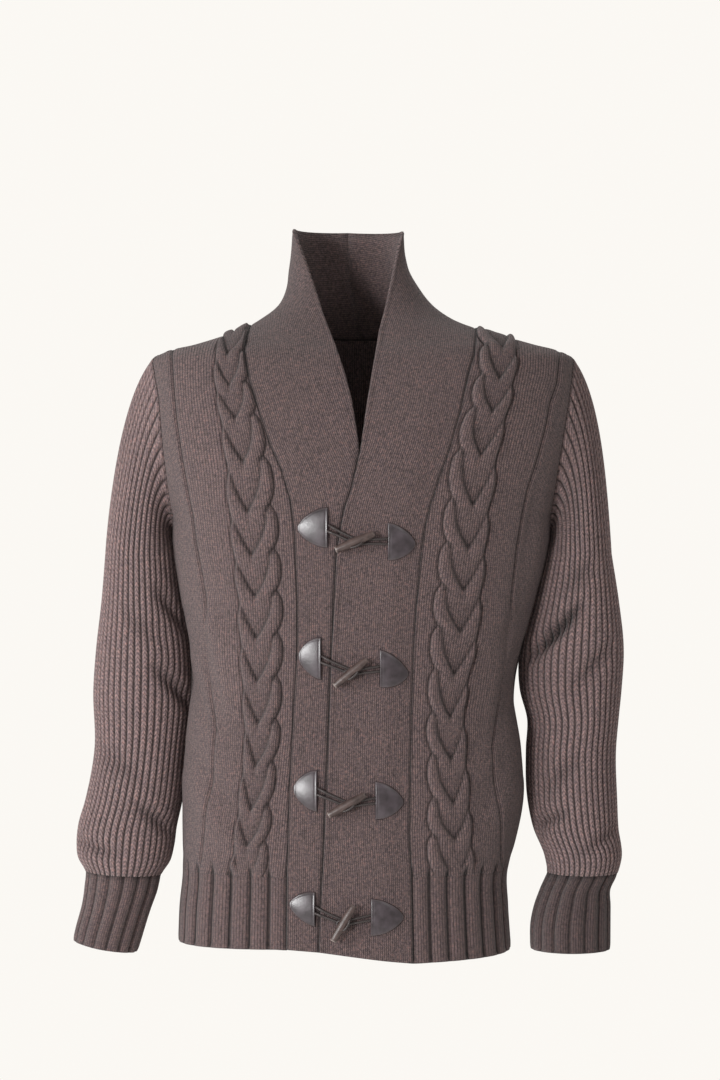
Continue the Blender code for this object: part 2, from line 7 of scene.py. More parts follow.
import bpy
import numpy as np
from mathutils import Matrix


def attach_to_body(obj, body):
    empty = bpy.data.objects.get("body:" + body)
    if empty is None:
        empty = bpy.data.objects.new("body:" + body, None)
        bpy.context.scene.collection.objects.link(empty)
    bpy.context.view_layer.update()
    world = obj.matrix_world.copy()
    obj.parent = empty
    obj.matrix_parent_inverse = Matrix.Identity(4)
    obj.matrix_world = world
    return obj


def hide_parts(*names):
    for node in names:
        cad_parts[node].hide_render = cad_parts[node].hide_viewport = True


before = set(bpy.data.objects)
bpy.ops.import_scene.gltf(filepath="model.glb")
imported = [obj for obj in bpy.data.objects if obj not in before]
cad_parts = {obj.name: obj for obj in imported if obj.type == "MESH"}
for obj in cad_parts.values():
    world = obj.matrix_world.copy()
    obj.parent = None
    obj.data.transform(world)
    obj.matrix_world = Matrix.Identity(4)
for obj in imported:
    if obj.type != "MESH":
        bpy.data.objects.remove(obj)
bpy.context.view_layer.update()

# ================================================================ measures shared with the frame

SIGN = {"right": -1.0, "left": 1.0}
SEAM = 0.00012              # edges run this far past the seam line, which closes the seam
# how far the left band stands out, and the share of its width it rises over
LAP, LAP_RAMP = 0.0037, 1.0 / 3.0
ARMHOLE_DEPTH = 0.050       # half the armhole's reach from front to back

# levels
CROSSING = -0.138           # where the bands' free edges cross
RIB_TOP, CUFF_TOP = -0.562, -0.566
UNDERARM, SHOULDER_TIP = -0.215, -0.034
NECK_POINT, NAPE, COLLAR_BACK = -0.002, -0.012, 0.1000
COLLAR_TIP = {"right": 0.0985, "left": 0.0960}

# level, sideways lean, set back, half width, depth before, depth behind, roundness
BODY = np.array((
    (-0.665, -0.0057, 0.000, 0.1725, 0.112, 0.118, 2.6), (-0.645, -0.0057, 0.000, 0.1710, 0.112, 0.118, 2.6),
    (-0.600, -0.0062, 0.000, 0.1685, 0.110, 0.117, 2.6), (-0.567, -0.0050, 0.000, 0.1665, 0.110, 0.117, 2.6),
    (-0.536, -0.0010, 0.000, 0.1715, 0.113, 0.120, 2.6), (-0.495, 0.0030, 0.000, 0.1755, 0.115, 0.120, 2.6),
    (-0.443, 0.0045, 0.000, 0.1725, 0.113, 0.115, 2.6), (-0.381, 0.0050, 0.000, 0.1640, 0.110, 0.108, 2.6),
    (-0.335, 0.0070, 0.000, 0.1660, 0.112, 0.108, 2.6), (-0.288, 0.0090, 0.000, 0.1760, 0.116, 0.112, 2.6),
    (-0.225, 0.0115, 0.000, 0.1890, 0.121, 0.118, 2.6), (-0.1635, 0.0120, 0.000, 0.2050, 0.122, 0.121, 2.6),
    (-0.120, 0.0130, 0.000, 0.2150, 0.118, 0.119, 2.5), (-0.080, 0.0145, 0.000, 0.2205, 0.108, 0.114, 2.4),
    (-0.055, 0.0140, 0.002, 0.2215, 0.099, 0.109, 2.3), (-0.040, 0.0135, 0.004, 0.2190, 0.092, 0.104, 2.2),
    (-0.031, 0.0140, 0.006, 0.2040, 0.086, 0.098, 2.2), (-0.024, 0.0150, 0.008, 0.1780, 0.080, 0.092, 2.2),
    (-0.016, 0.0140, 0.010, 0.1510, 0.075, 0.086, 2.2), (-0.008, 0.0110, 0.012, 0.1250, 0.071, 0.080, 2.2),
    (0.003, 0.0070, 0.015, 0.1010, 0.066, 0.072, 2.2), (0.020, 0.0055, 0.018, 0.0790, 0.060, 0.064, 2.2),
    (0.038, 0.0025, 0.020, 0.0685, 0.055, 0.059, 2.2), (0.054, -0.0010, 0.020, 0.0630, 0.052, 0.057, 2.2),
    (0.069, -0.0020, 0.020, 0.0600, 0.050, 0.056, 2.2), (0.097, -0.0020, 0.020, 0.0580, 0.048, 0.054, 2.2),
    (0.115, -0.0020, 0.020, 0.0575, 0.047, 0.053, 2.2)))

# seam between a front and its band, and a band's free edge: level, distance across
SEAM_LINE = {
    "right": np.array((
        (-0.665, -0.0634), (-0.5540, -0.0624), (-0.4745, -0.0603), (-0.3850, -0.0555),
        (-0.3350, -0.0524), (-0.2850, -0.0523), (-0.2157, -0.0552), (-0.1859, -0.0591),
        (-0.1551, -0.0681), (-0.1312, -0.0792), (-0.0970, -0.0904), (-0.0653, -0.1009),
        (-0.0337, -0.1068), (-0.0200, -0.1057), (-0.0020, -0.1030))),
    "left": np.array((
        (-0.665, 0.0642), (-0.5586, 0.0622), (-0.5202, 0.0596), (-0.4397, 0.0611),
        (-0.3951, 0.0622), (-0.3372, 0.0641), (-0.2893, 0.0670), (-0.2455, 0.0709),
        (-0.2137, 0.0749), (-0.1909, 0.0808), (-0.1661, 0.0888), (-0.1362, 0.0998),
        (-0.0970, 0.1110), (-0.0582, 0.1196), (-0.0382, 0.1262), (-0.0020, 0.1310)))}
FREE_LINE = {
    "right": np.array((
        (-0.665, 0.0300), (-0.2500, 0.0280), (-0.1800, 0.0200), (-0.1383, 0.0103),
        (-0.1164, 0.0074), (-0.0862, 0.0024), (-0.0607, -0.0037), (-0.0452, -0.0087),
        (-0.0292, -0.0138), (-0.0129, -0.0201), (0.0034, -0.0263), (0.0196, -0.0316),
        (0.0600, -0.0460), (0.0850, -0.0555), (0.0985, -0.0605))),
    "left": np.array((
        (-0.665, -0.0310), (-0.6040, -0.0295), (-0.5340, -0.0255), (-0.4445, -0.0215),
        (-0.3750, -0.0195), (-0.3152, -0.0165), (-0.2356, -0.0125), (-0.1959, -0.0055),
        (-0.1741, 0.0024), (-0.1383, 0.0103), (-0.0963, 0.0163), (-0.0761, 0.0193),
        (-0.0452, 0.0244), (-0.0130, 0.0296), (0.0195, 0.0379), (0.0600, 0.0475),
        (0.0830, 0.0530), (0.0970, 0.0560)))}

# lower edge: angle round the body from the front, level
HEM = np.array(((-180, -0.641), (-90, -0.637), (-32, -0.634), (-14, -0.636), (5, -0.641), (32, -0.648),
                (90, -0.644), (180, -0.641)))

# where a band's seam and its free edge meet the lower edge, in degrees round the body
SEAM_TURN, FREE_TURN = {"right": -32, "left": 32}, {"right": 5, "left": -14}

# a sleeve below the armhole: level, distance out, half width, set back, half depth, slant
SLEEVE = {
    "right": np.array((
        (-0.240, 0.2153, 0.0372, 0.010, 0.064, 0.000), (-0.288, 0.2149, 0.0419, 0.014, 0.063, 0.000),
        (-0.340, 0.2140, 0.0490, 0.018, 0.062, 0.000), (-0.381, 0.2148, 0.0512, 0.020, 0.060, 0.000),
        (-0.443, 0.2168, 0.0473, 0.012, 0.056, 0.000), (-0.495, 0.2235, 0.0490, -0.002, 0.055, 0.000),
        (-0.521, 0.2295, 0.0495, -0.009, 0.055, 0.001), (-0.538, 0.2310, 0.0490, -0.014, 0.054, 0.001),
        (-0.553, 0.2320, 0.0460, -0.019, 0.049, 0.002), (-0.566, 0.2325, 0.0385, -0.022, 0.042, 0.002),
        (-0.583, 0.2349, 0.0361, -0.027, 0.039, 0.003), (-0.598, 0.2385, 0.0340, -0.031, 0.0375, 0.004),
        (-0.629, 0.2470, 0.0325, -0.038, 0.036, 0.006), (-0.639, 0.2495, 0.0320, -0.040, 0.036, 0.006))),
    "left": np.array((
        (-0.240, 0.2358, 0.0343, 0.010, 0.064, 0.000), (-0.288, 0.2340, 0.0440, 0.014, 0.063, 0.000),
        (-0.340, 0.2306, 0.0530, 0.018, 0.062, 0.000), (-0.381, 0.2298, 0.0517, 0.020, 0.060, 0.000),
        (-0.412, 0.2318, 0.0462, 0.016, 0.058, 0.000), (-0.443, 0.2295, 0.0455, 0.012, 0.056, 0.000),
        (-0.495, 0.2300, 0.0450, -0.002, 0.055, 0.000), (-0.521, 0.2328, 0.0427, -0.009, 0.053, 0.000),
        (-0.552, 0.2400, 0.0381, -0.018, 0.049, 0.000), (-0.566, 0.2388, 0.0357, -0.022, 0.042, 0.000),
        (-0.583, 0.2310, 0.0350, -0.027, 0.040, 0.000), (-0.598, 0.2280, 0.0380, -0.031, 0.041, 0.000),
        (-0.614, 0.2258, 0.0398, -0.035, 0.042, 0.000), (-0.642, 0.2250, 0.0400, -0.040, 0.042, 0.000)))}

# side, tip across, tip level, inner edge across, its upper and lower level
PATCHES = (
    ("right", -0.0522, -0.2137, -0.0212, -0.1929, -0.2336),
    ("left", 0.0659, -0.2296, 0.0376, -0.2078, -0.2455),
    ("right", -0.0514, -0.3412, -0.0280, -0.3222, -0.3651),
    ("left", 0.0592, -0.3592, 0.0298, -0.3341, -0.3720),
    ("right", -0.0563, -0.4734, -0.0319, -0.4544, -0.4961),
    ("left", 0.0541, -0.4862, 0.0253, -0.4653, -0.5030),
    ("right", -0.0604, -0.5884, -0.0340, -0.5762, -0.6110),
    ("left", 0.0542, -0.6014, 0.0208, -0.5822, -0.6199))

# lower end across and level, upper end across and level
TOGGLES = ((-0.0135, -0.2346, 0.0242, -0.2187), (-0.0146, -0.3700, 0.0173, -0.3431),
           (-0.0205, -0.4980, 0.0153, -0.4781), (-0.0165, -0.6238, 0.0044, -0.5881))

# level, how far the body's side stands out against the sleeve
SWELL = {
    "right": np.array((
        (-0.50, 0), (-0.443, 0.0028), (-0.381, 0.0060), (-0.335, 0.0072), (-0.288, 0.0070),
        (-0.245, 0.0078), (-0.225, 0.0064), (-0.200, 0))),
    "left": np.array((
        (-0.395, 0), (-0.365, 0.0025), (-0.335, 0.0058), (-0.288, 0.0062), (-0.245, 0.0068),
        (-0.225, 0.0056), (-0.200, 0)))}

# ================================================================ the knitting's own measures, in mm

WALL, SLEEVE_WALL = 3.0, 3.5
WALE, COURSE = 2.4, 2.1             # between the columns and the rows of plain knitting
BAND_WALE, BAND_COURSE = 2.1, 1.8   # the same on the bands
SLEEVE_COURSE = 4.6
CABLE = 44.0            # width of the cable between its two gutters
PLAIN = 38.0            # from the cable to the gutter nearer the armhole
HEM_RIB, CUFF_RIB = 15.8, 16.0      # from groove to groove
SLEEVE_RIBS, CUFF_RIBS, FRONT_RIBS, BACK_RIBS = 43, 15, 8, 27
HEM_ROWS = 32
RIB_BLEND = 0.016       # metres over which the hem's ribs fade out above the rib
INNER_STEP = 4          # an inner face has one point for this many of the outer face's

# edges of the cable and the outer gutter: level, distance across
CABLE_INNER = {
    "right": np.array((
        (-0.562, -0.0860), (-0.5016, -0.0803), (-0.4141, -0.0714), (-0.3753, -0.0705), (-0.3313, -0.0694),
        (-0.2894, -0.0693), (-0.2475, -0.0712), (-0.2038, -0.0741), (-0.1770, -0.0771), (-0.1550, -0.0800),
        (-0.1300, -0.0850), (-0.1000, -0.0925), (-0.0700, -0.1010), (-0.0380, -0.1050), (0.0, -0.1010))),
    "left": np.array((
        (-0.562, 0.0810), (-0.5145, 0.0791), (-0.4916, 0.0805), (-0.4141, 0.0791), (-0.3663, 0.0812),
        (-0.3283, 0.0831), (-0.2894, 0.0860), (-0.2475, 0.0909), (-0.2038, 0.0958), (-0.1661, 0.1005),
        (-0.1448, 0.1041), (-0.1157, 0.1123), (-0.0893, 0.1217), (-0.0709, 0.1266), (-0.0458, 0.1330),
        (-0.0230, 0.1340), (0.0, 0.1300)))}
CABLE_OUTER = {
    "right": np.array((
        (-0.562, -0.1230), (-0.5370, -0.1168), (-0.4337, -0.1057), (-0.3960, -0.1069), (-0.3570, -0.1090),
        (-0.3188, -0.1109), (-0.2807, -0.1127), (-0.2416, -0.1166), (-0.2037, -0.1205), (-0.1857, -0.1224),
        (-0.1548, -0.1234), (-0.1227, -0.1276), (-0.0944, -0.1319), (-0.0698, -0.1364), (-0.0427, -0.1372),
        (-0.0221, -0.1338), (0.0, -0.1280))),
    "left": np.array((
        (-0.562, 0.1260), (-0.5293, 0.1236), (-0.4827, 0.1204), (-0.4408, 0.1174), (-0.3959, 0.1155),
        (-0.3570, 0.1216), (-0.3249, 0.1286), (-0.2807, 0.1324), (-0.2416, 0.1362), (-0.1997, 0.1400),
        (-0.1658, 0.1460), (-0.1448, 0.1481), (-0.1157, 0.1543), (-0.0893, 0.1617), (-0.0709, 0.1651),
        (-0.0458, 0.1700), (-0.0230, 0.1700), (0.0, 0.1640)))}
GUTTER = {
    "right": np.array((
        (-0.562, -0.1525), (-0.5272, -0.1480), (-0.4812, -0.1406), (-0.4160, -0.1347), (-0.3874, -0.1403),
        (-0.3453, -0.1458), (-0.2963, -0.1430), (-0.2811, -0.1450), (-0.2478, -0.1510), (-0.2135, -0.1570),
        (-0.1803, -0.1629), (-0.1390, -0.1701), (-0.1044, -0.1755), (-0.0685, -0.1792), (-0.0330, -0.1823),
        (0.0, -0.1830))),
    "left": np.array((
        (-0.562, 0.1550), (-0.5141, 0.1516), (-0.4843, 0.1482), (-0.4350, 0.1442), (-0.4143, 0.1486),
        (-0.3877, 0.1542), (-0.3513, 0.1573), (-0.2327, 0.1682), (-0.1975, 0.1752), (-0.1774, 0.1791),
        (-0.1441, 0.1895), (-0.1147, 0.1979), (-0.0861, 0.2034), (-0.0661, 0.2110), (-0.0306, 0.2160),
        (0.0, 0.2170)))}

# levels of the points of the cable's Vs, upwards, and how strongly the outer gutter is drawn in, both in its
# depth and in its painted shade
V_POINTS = np.array((-0.612, -0.572, -0.531, -0.4952, -0.4517, -0.4098, -0.3670, -0.3241, -0.2823, -0.2406,
                     -0.1979, -0.1481, -0.1041, -0.0707, -0.0383, -0.012, 0.012))
GUTTER_STRENGTH = np.array(((-0.56, 0.9), (-0.39, 0.9), (-0.355, 0.25), (-0.315, 0.15), (-0.29, 0.8),
                            (-0.25, 1.0), (0.0, 1.0)))

# the cable between two V points: share of the repeat, distance across in half widths (band side +1)
EDGE_IN = np.array(((0, 1.02), (0.1, 1.07), (0.27, 1.11), (0.45, 1.10), (0.66, 1.00), (0.78, 0.88),
                    (0.84, 0.82), (0.9, 0.90), (1, 1.02)))
EDGE_OUT = np.array(((0, -0.90), (0.16, -0.87), (0.35, -0.95), (0.55, -0.99), (0.8, -0.96), (1, -0.90)))
LINE_IN = np.array(((-0.16, 0.82), (-0.08, 0.71), (0, 0.66), (0.24, 0.60), (0.5, 0.47), (0.71, 0.26),
                    (0.87, 0.06), (1, -0.12)))
LINE_OUT = np.array(((0, -0.92), (0.14, -0.89), (0.24, -0.78), (0.5, -0.60), (0.76, -0.38), (1, -0.13)))


# ================================================================ form

def through(knots, table, at):
    """A smooth curve through the rows of a table: cubic pieces whose slopes are the table's own."""
    at = np.clip(at, knots[0], knots[-1])
    slope = np.gradient(table, knots, axis=0)
    k = np.clip(np.searchsorted(knots, at, side="right") - 1, 0, len(knots) - 2)
    step = (knots[k + 1] - knots[k])[..., None]
    u = ((at - knots[k]) / (knots[k + 1] - knots[k]))[..., None]
    return ((2 * u**3 - 3 * u**2 + 1) * table[k] + (u**3 - 2 * u**2 + u) * step * slope[k]
            + (3 * u**2 - 2 * u**3) * table[k + 1] + (u**3 - u**2) * step * slope[k + 1])


KNOTS = np.concatenate(([0.0], np.cumsum(np.hypot(np.diff(BODY[:, 0]), np.diff(BODY[:, 3])))))
FINE = np.linspace(0.0, KNOTS[-1], 4001)
LEVELS = through(KNOTS, BODY, FINE)[:, 0]


def section(s):
    """The form's level, lean, set back, half width, two depths and roundness at a place up it."""
    return np.moveaxis(through(KNOTS, BODY, np.asarray(s, float)), -1, 0)


def place_up(z):
    """The place up the form where its level is z."""
    return np.interp(z, LEVELS, FINE)


def form(theta, s):
    """A point of the body form: a rounded-square section whose radius is the n-th root of the sum of
    the n-th powers of sine over half width and cosine over depth."""
    z, lean, back, wide, fore, aft, n = section(s)
    deep = np.where(np.cos(theta) > 0, fore, aft)
    r = (np.abs(np.sin(theta) / wide)**n + np.abs(np.cos(theta) / deep)**n)**(-1 / n)
    return np.stack((lean + r * np.sin(theta), back - r * np.cos(theta), z), -1)


def outward(theta, s):
    """Cross product of the form's two directions, around and up."""
    e = 2e-4
    across = form(theta + e, s) - form(theta - e, s)
    up = form(theta, np.minimum(s + e, KNOTS[-1])) - form(theta, np.maximum(s - e, 0))
    return unit(np.cross(across, up))


def angle_at(x, z):
    """Angle of the point of the form's front that stands at x."""
    _, lean, _, wide, fore, _, n = section(place_up(z))
    out = np.clip((x - lean) / wide, -1, 1)
    return np.arctan2(out * wide, fore * (1 - np.abs(out)**n)**(1 / n))


def unit(v):
    """Vectors over their own lengths."""
    return v / np.maximum(np.linalg.norm(v, axis=-1, keepdims=True), 1e-12)


def line(table, z):
    """A table's second column at level z, straight between its rows."""
    return np.interp(z, table[:, 0], table[:, 1])


def eased(x):
    """A smooth step from 0 to 1: three squares less two cubes."""
    x = np.clip(x, 0, 1)
    return x * x * (3 - 2 * x)


def blur(h, times):
    """Averages each point of a grid with its neighbours, over and over."""
    for _ in range(times):
        tall = np.pad(h, ((1, 1), (0, 0)), "edge")
        h = (tall[2:] + tall[:-2] + 2 * h) / 4
        wide = np.pad(h, ((0, 0), (1, 1)), "edge")
        h = (wide[:, 2:] + wide[:, :-2] + 2 * h) / 4
    return h


def hump(d, width):
    """A soft bell: the exponential of minus the square of distance over width."""
    return np.exp(-(d / width)**2)


# ================================================================ shells

def shell(name, outer, inner, uv, fields, material, closed=False):
    """A cloth piece: a fine outer grid, a coarser inner grid, and rims that join them.

    uv has one column more than the grid where the piece is closed into a tube.
    """
    rows, columns = outer.shape[:2]
    wide = columns + 1 if closed else columns
    vertex = np.arange(rows * columns).reshape(rows, columns)[:, np.arange(wide) % columns]
    corner = np.arange(rows * wide).reshape(rows, wide)
    few = inner[::INNER_STEP, ::INNER_STEP]
    few_rows, few_columns = few.shape[:2]
    few_wide = few_columns + 1 if closed else few_columns
    few_vertex = rows * columns + np.arange(few_rows * few_columns).reshape(few_rows, few_columns)
    few_vertex = few_vertex[:, np.arange(few_wide) % few_columns]
    low = corner.size + np.arange(few_vertex.size).reshape(few_vertex.shape)
    groups = [quads(corner), quads(low)[:, ::-1], rim(corner[0], low[0])[:, ::-1], rim(corner[-1], low[-1])]
    if not closed:
        groups += [rim(corner[:, 0], low[:, 0]), rim(corner[:, -1], low[:, -1])[:, ::-1]]
    facing = np.cross(outer[1:, 1:] - outer[:-1, :-1], outer[1:, :-1] - outer[:-1, 1:])
    if np.sum(facing * (inner - outer)[:-1, :-1]) > 0:
        groups = [g[:, ::-1] for g in groups]
    of_corner = np.concatenate((vertex.ravel(), few_vertex.ravel()))
    uv_all = np.concatenate((uv.reshape(-1, 2), uv[::INNER_STEP, ::INNER_STEP].reshape(-1, 2)))
    points = np.concatenate((outer.reshape(-1, 3), few.reshape(-1, 3)))
    piece = mesh_piece(name, points, groups, of_corner, uv_all, material)
    for key, values in fields.items():
        keep(piece, key, np.concatenate((values.ravel(), values[::INNER_STEP, ::INNER_STEP].ravel())))
    return piece


def keep(piece, key, values):
    """Stores one number for each point of a mesh under a name that a material can read."""
    layer = piece.data.attributes.new(key, "FLOAT", "POINT")
    layer.data.foreach_set("value", values.astype(np.float32))


def quads(ids):
    """The four-sided faces of a grid of ids."""
    return np.stack((ids[:-1, :-1], ids[:-1, 1:], ids[1:, 1:], ids[1:, :-1]), -1).reshape(-1, 4)


def rim(fine, few):
    """Faces from a fine edge to a coarse one: INNER_STEP edges on one side, one on the other."""
    start = np.arange(len(few) - 1)
    run = start[:, None] * INNER_STEP + np.arange(INNER_STEP + 1)
    return np.concatenate((fine[run], few[start + 1][:, None], few[start][:, None]), 1)


def mesh_piece(name, points, groups, of_corner, uv_all, material):
    """Puts points and groups of equal-sided faces into a mesh; the first two groups are shaded smooth."""
    mesh = bpy.data.meshes.new(name)
    mesh.vertices.add(len(points))
    mesh.vertices.foreach_set("co", points.astype(np.float32).ravel())
    corners = np.concatenate([g.ravel() for g in groups])
    sides = np.concatenate([np.full(len(g), g.shape[1]) for g in groups])
    mesh.loops.add(len(corners))
    mesh.loops.foreach_set("vertex_index", of_corner[corners].astype(np.int32))
    mesh.polygons.add(len(sides))
    mesh.polygons.foreach_set("loop_start", (np.cumsum(sides) - sides).astype(np.int32))
    smooth = np.concatenate([np.full(len(g), i < 2) for i, g in enumerate(groups)])
    mesh.polygons.foreach_set("use_smooth", smooth)
    layer = mesh.uv_layers.new(name="knit")
    mesh.update(calc_edges=True)
    layer.data.foreach_set("uv", uv_all[corners].astype(np.float32).ravel())
    mesh.materials.append(material)
    mesh.validate()
    piece = bpy.data.objects.new(name, mesh)
    bpy.context.scene.collection.objects.link(piece)
    return piece


def run_on(points, edges):
    """Lets the named edges run a little past their seam line, along their own sheet."""
    p = points.copy()
    for edge in edges:
        if edge == "first_row":
            p[0] -= SEAM * unit(points[1] - points[0])
        if edge == "last_row":
            p[-1] -= SEAM * unit(points[-2] - points[-1])
        if edge == "first_column":
            p[:, 0] -= SEAM * unit(points[:, 1] - points[:, 0])
        if edge == "last_column":
            p[:, -1] -= SEAM * unit(points[:, -2] - points[:, -1])
    return p


EVERY_EDGE = ("first_row", "last_row", "first_column", "last_column")


def raised(points, normal, height):
    """Points moved along their outward directions by a height in mm."""
    return points + normal * (np.asarray(height) / 1000)[..., None]


def across_length(p):
    """Running length in millimetres along each row of a grid."""
    run = np.linalg.norm(np.diff(p, axis=1), axis=2)
    return 1000 * np.concatenate((np.zeros((len(p), 1)), np.cumsum(run, 1)), 1)


def along_length(p):
    """Running length in millimetres up each column of a grid."""
    run = np.linalg.norm(np.diff(p, axis=0), axis=2)
    return 1000 * np.concatenate((np.zeros((1, p.shape[1])), np.cumsum(run, 0)), 0)


def attach(piece, slot, *nodes):
    """Rides a piece on the body and hides the nodes that it stands for; slot, its finish, is not used."""
    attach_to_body(piece, "root")
    if nodes:
        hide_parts(*nodes)


def finish_cloth(piece, node, slot):
    """Rides a cloth piece on the body and hides the node that it stands for."""
    attach(piece, slot, node)


def lining(h):
    """Height in mm of a sheet's inner face: it follows the folds, and not the stitches or narrow gutters."""
    return np.minimum(blur(h, 8), 0) - WALL


# ================================================================ the lines the pieces share

def armhole(side, a):
    """An armhole: turn a from the shoulder tip (0) by the front (pi/2) to the underarm (pi)."""
    z = (SHOULDER_TIP + UNDERARM) / 2 + (SHOULDER_TIP - UNDERARM) / 2 * np.cos(a)
    s = place_up(z)
    _, _, _, wide, fore, aft, n = section(s)
    depth = ARMHOLE_DEPTH * np.sin(a)
    deep = np.where(depth >= 0, fore, aft)
    out = wide * (1 - np.abs(depth / deep)**n)**(1 / n)
    return np.arctan2(SIGN[side] * out, depth), s


def spaced(a):
    """Turns round an armhole, closer together at the shoulder and under the arm."""
    return a - 0.2 * np.sin(2 * a)


def edges_of_front(side, low, high):
    """Inner and outer edge of a front above the rib: angle and place up, in low + high + 1 rows."""
    sign, seam = SIGN[side], SEAM_LINE[side]
    z = np.linspace(RIB_TOP, UNDERARM, low + 1)[:-1]
    arm_angle, arm_s = armhole(side, spaced(np.linspace(math.pi, 0, high + 1)))
    arm_angle[0] = arm_angle[-1] = sign * math.pi / 2
    outer = (np.concatenate((np.full(low, sign * math.pi / 2), arm_angle)),
             np.concatenate((place_up(z), arm_s)))
    rise = place_up(UNDERARM) + (place_up(NECK_POINT) - place_up(UNDERARM)) * np.linspace(0, 1, high + 1)
    s = np.concatenate((place_up(z), rise))
    levels = section(s)[0]
    angle = angle_at(line(seam, levels), levels)
    angle[-1] = sign * math.pi / 2
    return (angle, s), outer


def hem_at(angle):
    """Level of the lower edge at an angle round the body."""
    turned = np.degrees(np.where(angle > math.pi, angle - 2 * math.pi, angle))
    return np.interp(turned, HEM[:, 0], HEM[:, 1])


def neckline(side, part):
    """The back neckline from the neck point (0) to the nape (1)."""
    level = NECK_POINT + (NAPE - NECK_POINT) * np.sin(part * math.pi / 2)
    return SIGN[side] * (math.pi / 2 + math.pi / 2 * part), place_up(level)


def lap(share, z):
    """How far out the left band lies: rising from its seam, gone above the crossing."""
    return LAP * eased(share / LAP_RAMP) * eased((CROSSING + 0.065 - z) / 0.045)


def above_rib(s):
    """0 at the hem's rib and 1 where its ribs have faded out."""
    return eased((section(s)[0] - RIB_TOP) / RIB_BLEND)


# ================================================================ relief

def crown(across, low, high):
    """A strand's round back between two edges: the root of one less the square of the place across."""
    width = np.maximum(high - low, 1e-3)
    place = 2 * (across - low) / width - 1
    return np.sqrt(np.clip(1 - np.abs(place)**2.1, 0, 1)) * np.clip(width / 0.34, 0, 1)


def plait(u, phase):
    """Height in mm and painted shade of the cable, dark along its lines and on its wedge, and its two edges.

    Two strands start at the edges, bulge, bend in and meet at a V point; the wedge they leave runs on
    under the next two.  u is +1 at the edge towards the band; phase is whole at a V point and grows
    downwards.
    """
    half = CABLE / 2
    q = phase - np.floor(phase)
    edge_in, edge_out = np.interp(q, *EDGE_IN.T), np.interp(q, *EDGE_OUT.T)
    line_in, line_out = np.interp(q, *LINE_IN.T), np.interp(q, *LINE_OUT.T)
    next_in = np.interp(q - 1, *LINE_IN.T)
    late = q > 0.84
    end_in = np.where(late, next_in, edge_in)
    gone = eased(q / 0.34)
    before = np.maximum(crown(u, -0.90, -0.12), crown(u, -0.12, 0.66))
    wedge = (1 - gone) * (0.7 + 3.3 * before) + gone * (3.0 - 3.2 * q)
    dip_in, dip_out = np.clip(line_in - u, 0, 9) * half, np.clip(u - line_out, 0, 9) * half
    wedge = wedge - gone * (1.4 * np.exp(-dip_in / 2.6) + 1.2 * np.exp(-dip_out / 2.2))
    rise = np.clip(q / 0.5, 0, 1)
    inner = 0.2 + 0.8 * rise + 3.4 * crown(u, line_in, end_in)
    outer = 0.2 + 0.8 * rise + 3.4 * crown(-u, -line_out, -edge_out)
    h = np.where(u > line_in, inner, np.where(u < line_out, outer, wedge))
    h = np.where(late & (u > next_in), 0.2 + 2.6 * crown(u, next_in, edge_in), h)
    lean_in = np.interp(q, (0, 0.4, 0.6, 1), (0.95, 0.9, 0.75, 0.72))
    fade_in = np.interp(q, (0, 0.2, 0.6, 1), (0.6, 0.75, 0.8, 0.9))
    fade_out = np.interp(q, (0, 0.14, 0.3, 0.6, 1), (0, 0.3, 0.7, 0.9, 1))
    # painted shade: dark lines where a strand meets the wedge or the next strand, a dark tail at each V
    # point, and the wedge darker towards its point
    dark_in = hump((u - line_in) * half * lean_in + 0.3, 1.25) * fade_in
    dark_out = hump((u - line_out) * half * 0.85 - 0.3, 1.25) * fade_out
    dark_next = np.where(late, hump((u - next_in) * half * 0.6, 1.3) * 0.85, 0.0)
    tail = hump((u + 0.12) * half, 1.2) * np.clip(1 - q / 0.09, 0, 1) * 0.7
    shade = gone * (0.42 * np.exp(-dip_in / 3.5) + 0.22 * np.exp(-dip_out / 3.0) + 0.12 * q)
    shade = np.where((u < line_in) & (u > line_out), shade, 0.0)
    dark = np.maximum.reduce((dark_in, dark_out, dark_next, tail, shade))
    return h, dark, edge_in, edge_out


def front_relief(side, p, run):
    """Wale coordinate, height in mm, painted shade along the cable's lines and the three gutters' distances
    of a front.

    The coordinate is 0 at the cable's inner edge, CABLE at its outer one and CABLE + PLAIN at the gutter.
    """
    x, z = SIGN[side] * p[..., 0], p[..., 2]
    inner = x - SIGN[side] * line(CABLE_INNER[side], z)
    outer = x - SIGN[side] * line(CABLE_OUTER[side], z)
    gutter = x - SIGN[side] * line(GUTTER[side], z)
    wale = np.empty_like(x)
    for r in range(len(x)):
        a = run[r]
        marks = [zero(inner[r], a), zero(outer[r], a), zero(gutter[r], a)]
        marks[1] = max(marks[1], marks[0] + 20)
        marks[2] = max(marks[2], marks[1] + 12)
        knots = (marks[0] - 300, *marks, marks[2] + 300)
        wale[r] = np.interp(a, knots, (-300, 0, CABLE, CABLE + PLAIN, CABLE + PLAIN + 300))
    shift = 0.007 if side == "left" else 0.0
    phase = np.interp(-z, -(V_POINTS + shift)[::-1], np.arange(len(V_POINTS)))
    u = 1 - 2 * wale / CABLE
    h, dark, edge_in, edge_out = plait(u, phase)
    inside = (u < edge_in) & (u > edge_out)
    h = blur(np.where(inside, h, 0.0), 1)
    gap_in, gap_out = (edge_in - u) * CABLE / 2, (u - edge_out) * CABLE / 2
    strength = line(GUTTER_STRENGTH, z)
    h = h - 1.7 * (hump(gap_in + 0.6, 1.5) + hump(gap_out + 0.6, 1.5))
    h = h - 1.7 * strength * hump(wale - CABLE - PLAIN, 1.6)
    h = h - 1.2 * hump(wale - CABLE - PLAIN, 7.0) * (1 - strength)
    h = h + 0.5 * strength * hump(wale - CABLE - PLAIN - 6, 4.0)
    return wale, h, np.where(inside, dark, 0.0), gap_in + 0.5, gap_out + 0.5, strength


def zero(f, a):
    """Where along a rising row of values the value is nought, going on beyond the row's ends."""
    if f[0] > 0:
        return a[0] - 1000 * f[0]
    if f[-1] < 0:
        return a[-1] - 1000 * f[-1]
    return np.interp(0.0, f, a)


